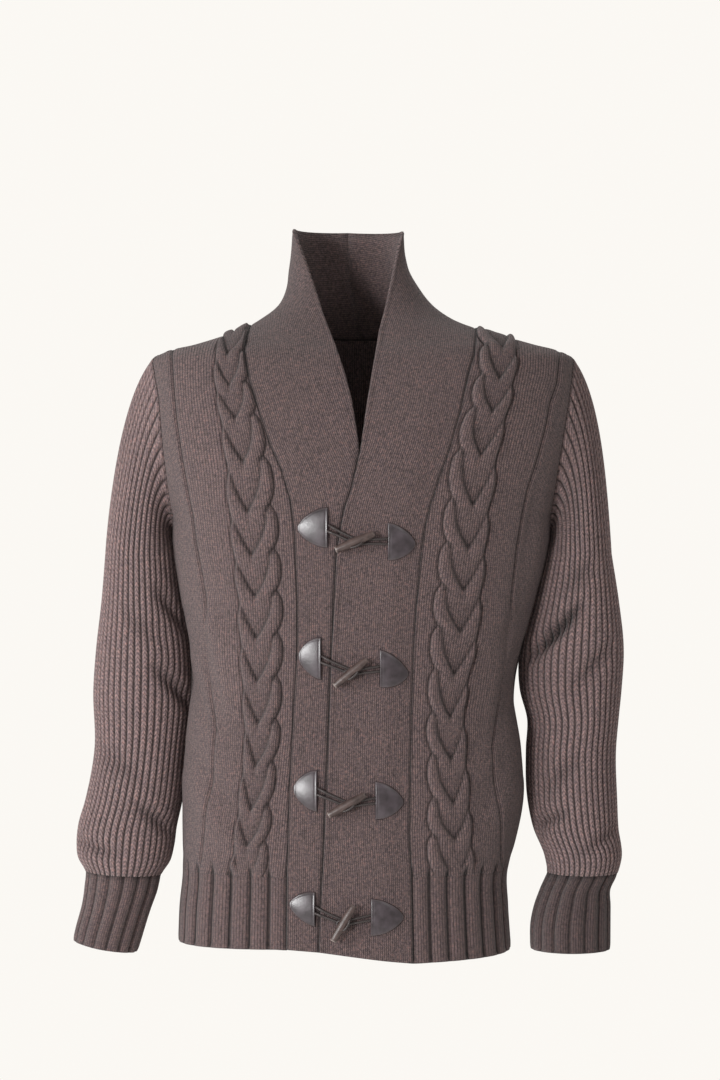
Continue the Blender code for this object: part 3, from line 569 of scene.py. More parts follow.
def folds(p, table):
    """Soft troughs in mm: from one end (across, level) to the other, with depth and half width in mm."""
    total = np.zeros(p.shape[:-1])
    for x0, z0, x1, z1, depth, width in table:
        way = np.array((x1 - x0, z1 - z0))
        length = np.hypot(*way)
        way = way / length
        dx, dz = p[..., 0] - x0, p[..., 2] - z0
        along = (dx * way[0] + dz * way[1]) / length
        off = 1000 * (dx * -way[1] + dz * way[0])
        total += depth * hump(off, width) * np.clip(np.sin(math.pi * np.clip(along, 0, 1)), 0, 1)**0.7
    return total


def rib_height(rib):
    """Height in mm of wide ribs parted by narrow grooves; rib counts ribs, whole at a groove."""
    return 0.7 * np.cos(2 * math.pi * (rib - 0.5)) + 0.3 - 2.2 * hump(rib_gap(rib), 1.8)


def rib_gap(rib):
    """Distance in mm to the nearest groove."""
    return np.abs(rib - np.round(rib)) * HEM_RIB


def hollow(h, times=10, depth=1.1):
    """How much lower each point is than its surroundings, from 0 to 1: the measure behind painted shade in
    hollows.
    """
    return np.clip((blur(h, times) - h) / depth, 0, 1)


FRONT_FOLDS = {
    "right": ((-0.158, -0.290, -0.128, -0.420, -4.2, 9), (-0.168, -0.345, -0.140, -0.415, -3.4, 7),
              (-0.176, -0.190, -0.135, -0.300, -2.2, 12), (-0.112, -0.540, -0.170, -0.460, 3.0, 14),
              (-0.120, -0.330, -0.160, -0.300, 2.2, 13), (-0.165, -0.430, -0.115, -0.500, -2.2, 10)),
    "left": ((0.192, -0.160, 0.163, -0.300, -3.0, 10), (0.174, -0.320, 0.146, -0.440, -3.8, 9),
             (0.182, -0.260, 0.150, -0.350, -2.6, 11), (0.130, -0.540, 0.172, -0.465, 2.8, 14),
             (0.125, -0.330, 0.165, -0.290, 2.0, 13), (0.165, -0.430, 0.125, -0.510, -2.0, 10))}
BACK_FOLDS = ((-0.150, -0.250, -0.110, -0.360, -2.0, 10), (0.160, -0.250, 0.115, -0.350, -2.0, 10),
              (-0.130, -0.340, 0.020, -0.390, -1.8, 9), (0.140, -0.345, 0.000, -0.375, -1.6, 8),
              (-0.110, -0.420, 0.060, -0.440, -1.4, 11), (0.120, -0.520, -0.040, -0.500, 1.8, 15))


# ================================================================ shader maths

class Wire:
    """A socket in a material's tree; arithmetic on wires adds Math nodes."""

    def __init__(self, tree, socket):
        self.tree, self.socket = tree, socket

    def node(self, kind, settings=(), inputs=(), out=0):
        """Adds any node: its settings first, then the values or wires of its sockets."""
        made = self.tree.nodes.new(kind)
        for key, value in dict(settings).items():
            setattr(made, key, value)
        for key, value in dict(inputs).items():
            if isinstance(value, Wire):
                self.tree.links.new(value.socket, made.inputs[key])
            else:
                made.inputs[key].default_value = value
        return Wire(self.tree, made.outputs[out])

    def maths(self, operation, *others):
        values = dict(enumerate((self, *others)))
        return self.node("ShaderNodeMath", {"operation": operation}, values)

    def __add__(self, other):
        return self.maths("ADD", other)

    __radd__ = __add__

    def __mul__(self, other):
        return self.maths("MULTIPLY", other)

    __rmul__ = __mul__

    def __sub__(self, other):
        return self.maths("SUBTRACT", other)

    def __rsub__(self, other):
        return (self * -1.0) + other

    def __truediv__(self, other):
        return self.maths("DIVIDE", other)

    def __pow__(self, other):
        return self.maths("POWER", other)

    def fraction(self):
        return self.maths("FRACT")

    def size(self):
        return self.maths("ABSOLUTE")

    def least(self, other):
        return self.maths("MINIMUM", other)

    def most(self, other):
        return self.maths("MAXIMUM", other)

    def held(self):
        """Kept between 0 and 1."""
        return self.node("ShaderNodeClamp", (), {0: self})

    def mix(self, a, b):
        """A colour between a and b by this share."""
        made = self.tree.nodes.new("ShaderNodeMix")
        made.data_type = "RGBA"
        self.tree.links.new(self.socket, made.inputs[0])
        for index, value in ((6, a), (7, b)):
            if isinstance(value, Wire):
                self.tree.links.new(value.socket, made.inputs[index])
            else:
                made.inputs[index].default_value = (*value, 1.0)
        return Wire(self.tree, made.outputs[2])


def new_material(name, roughness, sheen=0.0, specular=0.5):
    """A material, a first wire to build from, and its shader."""
    stuff = bpy.data.materials.new(name)
    stuff.use_nodes = True
    tree = stuff.node_tree
    shader = tree.nodes["Principled BSDF"]
    shader.inputs["Roughness"].default_value = roughness
    shader.inputs["Sheen Weight"].default_value = sheen
    shader.inputs["Sheen Roughness"].default_value = 0.6
    shader.inputs["Specular IOR Level"].default_value = specular
    return stuff, Wire(tree, None), shader


def put(wire, shader, name):
    """Joins a wire to one of the shader's own sockets."""
    wire.tree.links.new(wire.socket, shader.inputs[name])


def put_bump(start, shader, height, strength):
    """Lets a height in metres bend the shader's normal."""
    bump = start.node("ShaderNodeBump", (), {"Height": height, "Strength": strength, "Distance": 1.0})
    put(bump, shader, "Normal")


def kept(start, name):
    """A number kept on the mesh's points."""
    return start.node("ShaderNodeAttribute", {"attribute_name": name}, out=2)


def own_map(start):
    """The two numbers of the piece's own map."""
    uv = start.node("ShaderNodeUVMap", {"uv_map": "knit"})
    split = start.tree.nodes.new("ShaderNodeSeparateXYZ")
    start.tree.links.new(uv.socket, split.inputs[0])
    return Wire(start.tree, split.outputs[0]), Wire(start.tree, split.outputs[1])


def noise(start, place, scale, detail=2.0, rough=0.5):
    """Cloudy values about a half, with scale lumps to the metre."""
    return start.node("ShaderNodeTexNoise", {"noise_dimensions": "3D"},
                      {"Vector": place, "Scale": scale, "Detail": detail, "Roughness": rough})


def shade_of(wire, low, high):
    """Stretches a value so that low becomes 0 and high becomes 1."""
    return ((wire - low) / (high - low)).held()


# main fibre, second fibre, reddish fleck, pale fleck
YARN = ((0.188, 0.128, 0.121), (0.137, 0.096, 0.102), (0.184, 0.108, 0.100), (0.256, 0.196, 0.186))


def knit_material(name, tone, leg_depth, grain, lines=(), valley=0.0, groove=0.0, speckle=1.5):
    """Yarn of mixed fibres in rows of V stitches.

    The map's first number counts stitch columns and its second counts rows.  grain is painted shade
    between the stitches' legs and rows.  lines are distances in millimetres from a gutter, painted dark as
    shade, with its half width and depth; valley is painted shade between the columns; groove is the columns
    from one rib's gap to the next, with painted shade in each gap.  The kept number deep is painted shade
    in hollows, creases, gutters and seams.
    """
    stuff, start, shader = new_material(name, 0.92, sheen=0.12, specular=0.12)
    u, v = own_map(start)
    place = start.node("ShaderNodeTexCoord", out=3)
    # deep: painted shade kept on the mesh's points
    deep = kept(start, "deep")
    wander = noise(start, place, 260.0, 1.0) - 0.5
    t = ((u + wander * 0.12).fraction() * 2.0 - 1.0).size()
    leg = (1.0 - t ** 3.0) * (0.72 + 0.28 * (t * 3.0).least(1.0))
    row = ((v - t * 0.85 + wander * 0.15).fraction() * 2.0 - 1.0).size()
    stitch = leg * (0.45 + 0.55 * (1.0 - row * row))
    fibre = noise(start, place, 1500.0, 2.0, 0.75)
    fleck = noise(start, place, 540.0, 2.0, 0.65)
    patchy = noise(start, place, 18.0, 2.0)
    colour = shade_of(fleck, 0.42, 0.58).mix(YARN[0], YARN[1])
    colour = shade_of(noise(start, place, 430.0, 1.0), 0.58, 0.72).mix(colour, YARN[2])
    colour = (shade_of(fibre, 0.54, 0.74) * 0.75).mix(colour, YARN[3])
    # painted shade: deep, and (1 - stitch) * grain darkening between the stitches' legs and rows
    dark = deep * 0.85 + (1.0 - stitch) * grain * (1.0 - deep * 0.7)
    # painted shade in the valleys between the columns
    if valley:
        dark = dark.most(shade_of(t, 0.55, 1.0) * valley)
    # painted shade in the gutters, fading with the gutter's strength on the outer one
    for attribute, width, depth in lines:
        gap = kept(start, attribute)
        soft = (1.0 - ((gap + wander * 0.6).size() / width)).held()
        if attribute == "gap_side":
            soft = soft * kept(start, "strength")
        dark = dark.most(soft * depth)
    # painted shade in each rib's gap
    if groove:
        gap = (((u / groove).fraction() - 0.5).size() * -1.0 + 0.5) * (groove * WALE / 1.5)
        dark = dark.most((1.0 - gap).held() * 0.70)
    dark = dark.most(shade_of(patchy, 0.35, 0.75) * 0.10)
    cell = noise(start, place, 430.0, 0.0) * 0.65 + noise(start, place, 900.0, 0.0) * 0.35
    tone_wire = (1.0 - dark.held()) * tone * (1.0 + (cell - 0.5) * speckle)
    toned = start.node("ShaderNodeVectorMath", {"operation": "SCALE"}, {0: colour, "Scale": tone_wire})
    put(toned, shader, "Base Color")
    put_bump(start, shader, stitch * leg_depth + fibre * 0.00012 + fleck * 0.00016, 0.9)
    return stuff


def leather_material(name):
    """Glossy dark leather: fine pebbled grain, paler where it is rubbed along its rim."""
    stuff, start, shader = new_material(name, 0.3, specular=0.85)
    place = start.node("ShaderNodeTexCoord", out=3)
    worn = kept(start, "worn")
    pebble = start.node("ShaderNodeTexVoronoi", (), {"Vector": place, "Scale": 1500.0})
    cloud = noise(start, place, 120.0, 3.0)
    colour = shade_of(cloud, 0.35, 0.7).mix((0.018, 0.011, 0.014), (0.046, 0.032, 0.040))
    colour = (worn * 0.7).held().mix(colour, (0.085, 0.062, 0.06))
    put(colour, shader, "Base Color")
    put(0.24 + 0.22 * cloud + worn * 0.1, shader, "Roughness")
    put_bump(start, shader, pebble * 0.00006 + cloud * 0.0003, 0.6)
    return stuff


def horn_material(name):
    """Brown horn: long streaks, satin polish, paler at its cut ends."""
    stuff, start, shader = new_material(name, 0.35, specular=0.5)
    place = start.node("ShaderNodeTexCoord", out=3)
    worn = kept(start, "worn")
    cloud = noise(start, place, 140.0, 4.0, 0.6)
    fine = noise(start, place, 900.0, 2.0)
    colour = shade_of(cloud, 0.3, 0.7).mix((0.032, 0.020, 0.018), (0.088, 0.058, 0.052))
    colour = (worn * 0.9).held().mix(colour, (0.30, 0.25, 0.23))
    put(colour, shader, "Base Color")
    put(0.30 + 0.2 * fine, shader, "Roughness")
    put_bump(start, shader, fine * 0.00015, 0.5)
    return stuff


def cord_material(name):
    """Dark waxed cord in a fine slanting braid."""
    stuff, start, shader = new_material(name, 0.4, specular=0.5)
    u, v = own_map(start)
    one = ((v + u).fraction() * 2.0 - 1.0).size()
    two = ((v - u).fraction() * 2.0 - 1.0).size()
    braid = (1.0 - one * one).most(1.0 - two * two)
    # painted shade: the colour darkens between the braid's strands
    colour = shade_of(braid, 0.5, 1.0).mix((0.006, 0.0045, 0.0045), (0.050, 0.038, 0.037))
    put(colour, shader, "Base Color")
    put_bump(start, shader, braid * 0.0003, 0.8)
    return stuff


# ================================================================ cloth pieces

def make_front(side, material):
    """A front from rib to shoulder: a ruled patch of the form between its band seam and its outer edge."""
    low, high, columns = 232, 172, 144
    inner, outer = edges_of_front(side, low, high)
    share = np.linspace(0, 1, columns + 1)
    angle = inner[0][:, None] * (1 - share) + outer[0][:, None] * share
    s = inner[1][:, None] * (1 - share) + outer[1][:, None] * share
    base = form(angle, s)
    n = outward(angle, s)
    wale, h, dark, gap_in, gap_out, strength = front_relief(side, base, across_length(base))
    h = h + folds(base, FRONT_FOLDS[side])
    edge = np.minimum(share * 150, (1 - share) * 150) * np.ones_like(h)
    rim_dip = hump(edge, 1.6)
    panel = above_rib(s)
    to_top = (along_length(base)[-1:] - along_length(base)) * np.clip(share * 40, 0, 1)
    h = h * (1 - 0.75 * hump(to_top, 7.0))
    ribs = share * FRONT_RIBS
    h = h * (1 - rim_dip) * panel + rib_height(ribs) * (1 - panel) - 0.5 * rim_dip * panel
    # deep is painted shade: darker in the relief's hollows, along the cable's lines, at the piece's edges and
    # in the hem ribs' grooves
    deep = np.maximum(0.6 * hollow(h, 6, 1.6), 0.85 * dark * panel)
    deep = np.clip(deep + 0.6 * rim_dip + 0.7 * (1 - panel) * hump(rib_gap(ribs), 1.6), 0, 1)
    face = run_on(base, EVERY_EDGE) + n * swell(base)[..., None]
    uv = np.stack((wale / WALE, along_length(base) / COURSE), -1)
    piece = shell("front_" + side + "_knit", raised(face, n, h), raised(face, n, lining(h)), uv,
                  {"deep": deep, "gap_in": gap_in, "gap_out": gap_out, "gap_side": wale - CABLE - PLAIN,
                   "strength": strength}, material)
    finish_cloth(piece, "front_" + side, "knit_body")


def swell(p):
    """How far in metres the sides of the body stand out under the arms, most where the form is widest."""
    _, lean, _, wide, _, _, _ = section(place_up(p[..., 2]))
    out = (p[..., 0] - lean) / wide
    amount = np.where(out < 0, line(SWELL["right"], p[..., 2]), line(SWELL["left"], p[..., 2]))
    return amount * np.clip(np.abs(out), 0, 1)**7


def make_back(material):
    """The back from rib to shoulders: the form from the left side round to the right."""
    low, high, shoulder_columns, neck_columns = 116, 88, 64, 36
    _, left = edges_of_front("left", low, high)
    _, right = edges_of_front("right", low, high)
    part = np.linspace(0, 1, neck_columns + 1)[1:]
    shoulder = np.linspace(0, 1, shoulder_columns + 1)
    neck_angle, neck_s = neckline("left", part)
    tip_s, point_s = left[1][-1], place_up(NECK_POINT)
    top_angle = np.concatenate((np.full(len(shoulder), math.pi / 2), neck_angle))
    top_s = np.concatenate((tip_s + (point_s - tip_s) * shoulder, neck_s))
    top_angle = np.concatenate((top_angle, 2 * math.pi - top_angle[-2::-1]))
    top_s = np.concatenate((top_s, top_s[-2::-1]))
    turns = spaced(np.linspace(math.pi, 2 * math.pi, high + 1))
    edge_angle, edge_s = {}, {}
    for side, lines in (("left", left), ("right", right)):
        behind, behind_s = armhole(side, turns)
        behind[0] = behind[-1] = SIGN[side] * math.pi / 2
        edge_angle[side] = np.concatenate((lines[0][:low], behind))
        edge_s[side] = np.concatenate((lines[1][:low], behind_s))
    share = np.linspace(0, 1, len(top_angle))
    rise = np.concatenate((np.zeros(low), np.linspace(0, 1, high + 1)))[:, None]
    spread = share * (1 - rise) + rise * (top_angle - top_angle[0]) / (top_angle[-1] - top_angle[0])
    far_angle = edge_angle["right"] + 2 * math.pi
    angle = edge_angle["left"][:, None] * (1 - spread) + far_angle[:, None] * spread
    s = edge_s["left"][:, None] * (1 - share) + edge_s["right"][:, None] * share
    s = s + rise**2 * (top_s - top_s[0])
    base = form(angle, s)
    n = outward(angle, s)
    run = across_length(base)
    edge = np.minimum(run, run[:, -1:] - run)
    panel = above_rib(s)
    rim_dip = hump(edge, 2.0) * panel
    h = folds(base, BACK_FOLDS) * (1 - rim_dip) * panel - 0.5 * rim_dip
    ribs = spread * BACK_RIBS
    h = h + rib_height(ribs) * (1 - panel)
    # deep is painted shade: darker in the folds' hollows, along the piece's side edges and in the hem ribs'
    # grooves
    deep = 0.6 * hollow(h) + 0.7 * rim_dip + 0.7 * (1 - panel) * hump(rib_gap(ribs), 1.6)
    face = run_on(base, EVERY_EDGE) + n * swell(base)[..., None]
    uv = np.stack(((run - run[:, -1:] / 2) / WALE, along_length(base) / COURSE), -1)
    piece = shell("back_knit", raised(face, n, h), raised(face, n, lining(h)), uv,
                  {"deep": np.clip(deep, 0, 1)}, material)
    finish_cloth(piece, "back", "knit_body")


def make_hem(node, start_angle, end_angle, columns, count, material):
    """A hem rib: wide flat ribs parted by narrow grooves, between two angles that may change row by row."""
    rows = HEM_ROWS
    across = np.linspace(0, 1, columns + 1)
    up = np.linspace(0, 1, rows + 1)[:, None]
    angle = (start_angle * (1 - across) + end_angle * across) * np.ones_like(up)
    low, high = place_up(hem_at(angle)), place_up(RIB_TOP)
    s = low * (1 - up) + high * up
    base = form(angle, s)
    n = outward(angle, s)
    rib = across * count * np.ones_like(up)
    bottom = hump(up * 78, 2.5)
    h = rib_height(rib) * (1 - 0.75 * bottom) + 0.3 * bottom
    # deep is painted shade: darker in hollows and in the ribs' grooves
    deep = np.clip(0.3 * hollow(h, 4, 1.0) + 0.7 * hump(rib_gap(rib), 1.6), 0, 1)
    face = run_on(base, ("last_row", "first_column", "last_column"))
    uv = np.stack((rib * HEM_RIB / WALE, along_length(base) / COURSE), -1)
    piece = shell(node + "_knit", raised(face, n, h), raised(face, n, -WALL), uv, {"deep": deep}, material)
    finish_cloth(piece, node, "knit_rib")


def make_band(side, material):
    """A front band and its half of the collar: a ruled patch from seam to free edge, hem to nape."""
    ribs, low, high, behind, columns = 20, 100, 96, 36, 48
    sign = SIGN[side]
    (angle, s), _ = edges_of_front(side, low, high)
    up = np.linspace(0, 1, ribs + 1)[:-1]
    seam_hem, free_hem = line(HEM, SEAM_TURN[side]), line(HEM, FREE_TURN[side])
    seam_z = np.concatenate((seam_hem * (1 - up) + RIB_TOP * up, section(s)[0]))
    seam_s = np.concatenate((place_up(seam_z[:ribs]), s))
    seam_angle = np.concatenate((angle_at(line(SEAM_LINE[side], seam_z[:ribs]), seam_z[:ribs]), angle))
    free_z = np.concatenate((free_hem * (1 - up) + RIB_TOP * up, section(s[:low])[0],
                             UNDERARM + (COLLAR_TIP[side] - UNDERARM) * np.linspace(0, 1, high + 1)))
    free_angle = angle_at(line(FREE_LINE[side], free_z), free_z)
    free_angle[-1] = sign * math.pi / 2
    part = np.linspace(0, 1, behind + 1)[1:]
    neck_angle, neck_s = neckline(side, part)
    seam_angle, seam_s = np.concatenate((seam_angle, neck_angle)), np.concatenate((seam_s, neck_s))
    free_angle = np.concatenate((free_angle, sign * (math.pi / 2 + math.pi / 2 * part)))
    collar_z = COLLAR_TIP[side] + (COLLAR_BACK - COLLAR_TIP[side]) * part
    free_s = np.concatenate((place_up(free_z), place_up(collar_z)))
    share = np.linspace(0, 1, columns + 1)
    angle = seam_angle[:, None] * (1 - share) + free_angle[:, None] * share
    s = seam_s[:, None] * (1 - share) + free_s[:, None] * share
    base = form(angle, s)
    n = outward(angle, s)
    lift = lap(share[None], section(s)[0]) if side == "left" else np.zeros_like(s)
    run = across_length(base)
    to_free = run[:, -1:] - run
    h = 0.25 * hump(to_free - 1.8, 2.4) - 0.3 * hump(to_free - 5.5, 2.0) - 1.1 * hump(run, 1.6)
    h = h - 0.8 * hump(to_free, 1.0)
    h = h + 0.25 * np.sin(along_length(base) / 17.0) * hump(to_free, 8.0)
    # deep is painted shade: darker along the seam and in the groove beside the free edge
    deep = 0.9 * hump(run, 1.5) + 0.2 * hump(to_free - 5.2, 1.2)
    level = base[..., 2]
    # painted shadow: the right band darkens where the left band's free edge lies over it, and the left band's
    # own free edge is darkened as shade
    if side == "right":
        under = (base[..., 0] - line(FREE_LINE["left"], level)) * 1000
        deep = deep + 0.85 * hump(np.minimum(under + 0.4, 0), 2.4) * (level < CROSSING + 0.02) * (under < 6)
    else:
        deep = deep + 0.75 * hump(to_free, 0.9) * (level < CROSSING + 0.03)
    face = run_on(base + n * lift[..., None], ("first_column", "last_row"))
    uv = np.stack((run / BAND_WALE, along_length(base) / BAND_COURSE), -1)
    piece = shell("collar_band_" + side + "_knit", raised(face, n, h), raised(face, n, -WALL), uv,
                  {"deep": np.clip(deep, 0, 1)}, material)
    finish_cloth(piece, "collar_band_" + side, "knit_band")


def ring(side, rows, a):
    """Rings of a sleeve from rows of its table: turn a from the outer side by the front."""
    z, out, wide, back_set, deep, slant = (rows[:, i][:, None] for i in range(6))
    x = SIGN[side] * (out + wide * np.cos(a))
    return np.stack((x, back_set - deep * np.sin(a), z + slant * np.cos(a)), -1)


def sleeve_base(side, a, cap, arm):
    """A sleeve's rings: curved paths from the armhole to the table's first ring, evened, then its rings."""
    angle, s = armhole(side, spaced(a))
    start = form(angle, s)
    normal = outward(angle, s)
    hole = unit(np.cross(normal, np.roll(start, -1, 0) - np.roll(start, 1, 0)))
    hole = hole * np.sign(np.einsum("ij,ij->i", hole, start.mean(0) - start))[:, None]
    table = SLEEVE[side]
    first = ring(side, table[:1], a)[0]
    reach = np.linalg.norm(first - start, axis=1)[:, None]
    high = (1 + np.cos(a)) / 2
    to_hole = np.interp(high, (0, 0.5, 1), (0.55, 0.35, 0.55))[:, None]
    to_out = np.interp(high, (0, 0.5, 1), (1.10, 0.35, 0.05))[:, None]
    to_down = np.interp(high, (0, 0.5, 1), (0.0, 0.8, 0.2))[:, None]
    leave = reach * (to_hole * hole + to_out * normal + to_down * np.array((0.0, 0.0, -1.0)))
    arrive = reach * 0.85 * np.array((SIGN[side] * 0.05, 0.0, -1.0))
    u = np.linspace(0, 1, cap + 1)[:-1, None, None]
    top = ((2 * u**3 - 3 * u**2 + 1) * start + (u**3 - 2 * u**2 + u) * leave
           + (3 * u**2 - 2 * u**3) * first + (u**3 - u**2) * arrive)
    even = top.copy()
    for _ in range(170):
        even = (np.roll(even, 1, 1) + np.roll(even, -1, 1) + 2 * even) / 4
    place = np.arange(cap)[:, None, None]
    weight = np.clip(place / 7, 0, 1) * np.clip((cap - place) / 30, 0, 1)
    top = top * (1 - weight) + even * weight
    end = int(np.argmin(np.abs(table[:, 0] - CUFF_TOP)))
    knots = -table[:, 0]
    rows = through(knots, table, np.linspace(knots[0], knots[end], arm + 1))
    return np.concatenate((top, ring(side, rows, a))), normal


def tube_outward(p):
    """Outward directions of a closed run of rings."""
    n = unit(np.cross(np.roll(p, -1, 1) - np.roll(p, 1, 1), np.gradient(p, axis=0)))
    return n * np.sign(np.sum(n[-1] * (p[-1] - p[-1].mean(0))))


# creases of a sleeve: turn and level of both ends, depth in mm, half width in mm
SLEEVE_FOLDS = {
    "left": (
        (80, -0.288, 152, -0.352, -9.0, 8), (60, -0.250, 120, -0.275, -3.0, 12),
        (40, -0.330, 100, -0.385, -3.5, 10), (70, -0.440, 140, -0.485, -3.0, 9),
        (95, -0.500, 165, -0.520, -4.0, 6), (20, -0.520, 110, -0.545, -2.5, 6),
        (200, -0.300, 300, -0.350, -5.0, 9), (250, -0.430, 340, -0.400, -3.5, 10),
        (190, -0.510, 300, -0.535, -3.0, 7)),
    "right": (
        (100, -0.350, 165, -0.400, -4.5, 9), (60, -0.300, 130, -0.330, -2.5, 12),
        (110, -0.270, 160, -0.320, -3.0, 9), (30, -0.440, 110, -0.470, -2.5, 10),
        (90, -0.490, 160, -0.525, -4.0, 7), (10, -0.530, 100, -0.545, -3.0, 6),
        (200, -0.320, 300, -0.370, -5.0, 9), (240, -0.440, 335, -0.410, -3.5, 10),
        (190, -0.515, 300, -0.535, -3.0, 7))}


def sleeve_folds(a, p, table):
    """Troughs between two points given as turn and level; distance is measured over the ring."""
    total = np.zeros(p.shape[:2])
    turn = np.degrees(a)[None] * np.ones_like(total)
    level = p[..., 2]
    for a0, z0, a1, z1, depth, width in table:
        dx, dz = (turn - a0) * 0.95, (level - z0) * 1000
        ex, ez = (a1 - a0) * 0.95, (z1 - z0) * 1000
        length = math.hypot(ex, ez)
        along = (dx * ex + dz * ez) / length**2
        off = (dz * ex - dx * ez) / length
        total += 1.35 * depth * hump(off, width) * np.sin(math.pi * np.clip(along, 0, 1))**0.8
    return total


def make_sleeve(side, material):
    """A sleeve in full ribs: each rib is a rounded ridge between sharp valleys."""
    each, cap, arm = 8, 92, 116
    columns = SLEEVE_RIBS * each
    a = np.arange(columns) * 2 * math.pi / columns
    base, normal = sleeve_base(side, a, cap, arm)
    n = tube_outward(base)
    n[0] = normal
    for i in range(1, 6):
        n[i] = unit(n[i] * i + normal * (6 - i))
    t = np.abs(2 * (np.arange(columns) % each) / each - 1) * np.ones((len(base), 1))
    ridge = 1 - t**2.2
    last = len(base) - 1
    deepness = np.interp(np.arange(last + 1), (0, 3, last - 5, last), (0.35, 1, 1, 0.6))[:, None]
    creases = sleeve_folds(a, base, SLEEVE_FOLDS[side])
    h = (2.3 * ridge - 1.0) * deepness + creases
    closed = np.concatenate((base, base[:, :1]), 1)
    length = along_length(closed)
    uv = np.stack((np.arange(columns + 1) / each * np.ones_like(length),
                   length.mean(1, keepdims=True) * np.ones_like(length) / SLEEVE_COURSE), -1)
    face = run_on(base, ("last_row",))
    # deep is painted shade: darker in the creases and along the top ring at the armhole
    deep = np.clip(-creases / 13, 0, 0.75) + 0.5 * hump(np.arange(len(base))[:, None] * 2.0, 2.5)
    inner = raised(face, n, creases - SLEEVE_WALL)
    piece = shell("sleeve_" + side + "_knit", raised(face, n, h), inner, uv,
                  {"deep": np.clip(deep, 0, 1)}, material, closed=True)
    finish_cloth(piece, "sleeve_" + side, "knit_sleeve")


def make_cuff(side, material):
    """A cuff in wide ribs, drawn in at its top."""
    each, rows = 16, 28
    columns = CUFF_RIBS * each
    a = np.arange(columns) * 2 * math.pi / columns
    table = SLEEVE[side]
    first = int(np.argmin(np.abs(table[:, 0] - CUFF_TOP)))
    knots = -table[:, 0]
    base = ring(side, through(knots, table, np.linspace(knots[first], knots[-1], rows + 1)), a)
    n = tube_outward(base)
    rib = np.arange(columns) / each * np.ones((rows + 1, 1))
    circumference = 1000 * np.linalg.norm(np.roll(base, -1, 1) - base, axis=2).sum(1)[:, None]
    to_groove = np.abs(rib - np.round(rib)) * circumference / CUFF_RIBS
    h = 0.8 * np.cos(2 * math.pi * (rib - 0.5)) + 0.3 - 2.0 * hump(to_groove, 1.7)
    up = np.linspace(0, 1, rows + 1)[:, None]
    h = np.maximum(h * (1 - 0.7 * hump((1 - up) * 76, 2.5)) - 0.8 * hump(up * 76, 4.0), -2.3)
    # deep is painted shade: darker in the ribs' grooves and at the cuff's top, where it meets the sleeve
    deep = np.clip(0.6 * hump(to_groove, 1.5) + 0.5 * hump(up * 76, 4.0), 0, 1)
    closed = np.concatenate((base, base[:, :1]), 1)
    length = along_length(closed).mean(1, keepdims=True)
    uv = np.stack((np.arange(columns + 1) / each * CUFF_RIB / WALE * np.ones_like(length),
                   length / COURSE * np.ones(columns + 1)), -1)
    face = run_on(base, ("first_row",))
    piece = shell("cuff_" + side + "_knit", raised(face, n, h), raised(face, n, -WALL), uv,
                  {"deep": deep}, material, closed=True)
    finish_cloth(piece, "cuff_" + side, "knit_rib")


# ================================================================ fastenings

def over_front(x, z, lift):
    """A point standing off the form's front."""
    angle, s = angle_at(x, z), place_up(z)
    return form(angle, s) + outward(angle, s) * np.asarray(lift)[..., None]


def lap_at(x, z):
    """How far the left front is lifted over the right one at a point of the front."""
    seam, free = line(SEAM_LINE["left"], z), line(FREE_LINE["left"], z)
    return lap((seam - x) / (seam - free), z)


def make_patch(number, row, material):
    """A leather patch: a grid bowed to a point, domed a little, with a turned and stitched rim."""
    side, tip_x, tip_z, edge_x, upper, lower = row
    out = np.linspace(0, 0.995, 41)[:, None]
    up = np.linspace(-1, 1, 41)[None]
    half = (upper - lower) / 2 * (1 - out**1.9)**0.72
    x = (edge_x + (tip_x - edge_x) * out) * np.ones_like(up)
    z = (upper + lower) / 2 * (1 - out) + tip_z * out + half * up
    lift = (lap_at(x, z) if side == "left" else np.zeros_like(x)) + 0.0004
    to_rim = (1 - np.abs(up)) * half * 1000
    to_rim = np.minimum(to_rim, (1 - out) * abs(tip_x - edge_x) * 900)
    to_edge = out * abs(tip_x - edge_x) * 1000
    stitch = hump(to_rim - 1.9, 0.5)
    top = 1.5 + 2.3 * (1 - up**2) * (1 - out**2) - 1.1 * hump(to_rim, 0.7) - 0.35 * stitch
    top = top + 0.2 * hump(to_edge - 1.2, 0.8) - 0.25 * hump(to_edge - 2.4, 0.6)
    top = top * np.clip(np.minimum(to_rim, to_edge) / 0.5, 0.25, 1)
    outer = over_front(x, z, lift + top / 1000)
    inner = over_front(x, z, lift)
    uv = np.stack((out * 30 * np.ones_like(up), up * 20 * np.ones_like(out)), -1)
    worn = 0.75 * hump(to_rim - 0.9, 0.5) + 0.2 * hump(to_edge - 1.0, 0.5)
    piece = shell("leather_%d_%s" % (number, side), outer, inner, uv,
                  {"worn": worn * np.ones_like(x)}, material)
    attach(piece, "leather", "patch_%d_%s" % (number, side))


# a cord's own map: strands round it, and stitches to the metre
CORD_MAP = (3.0, 600.0)


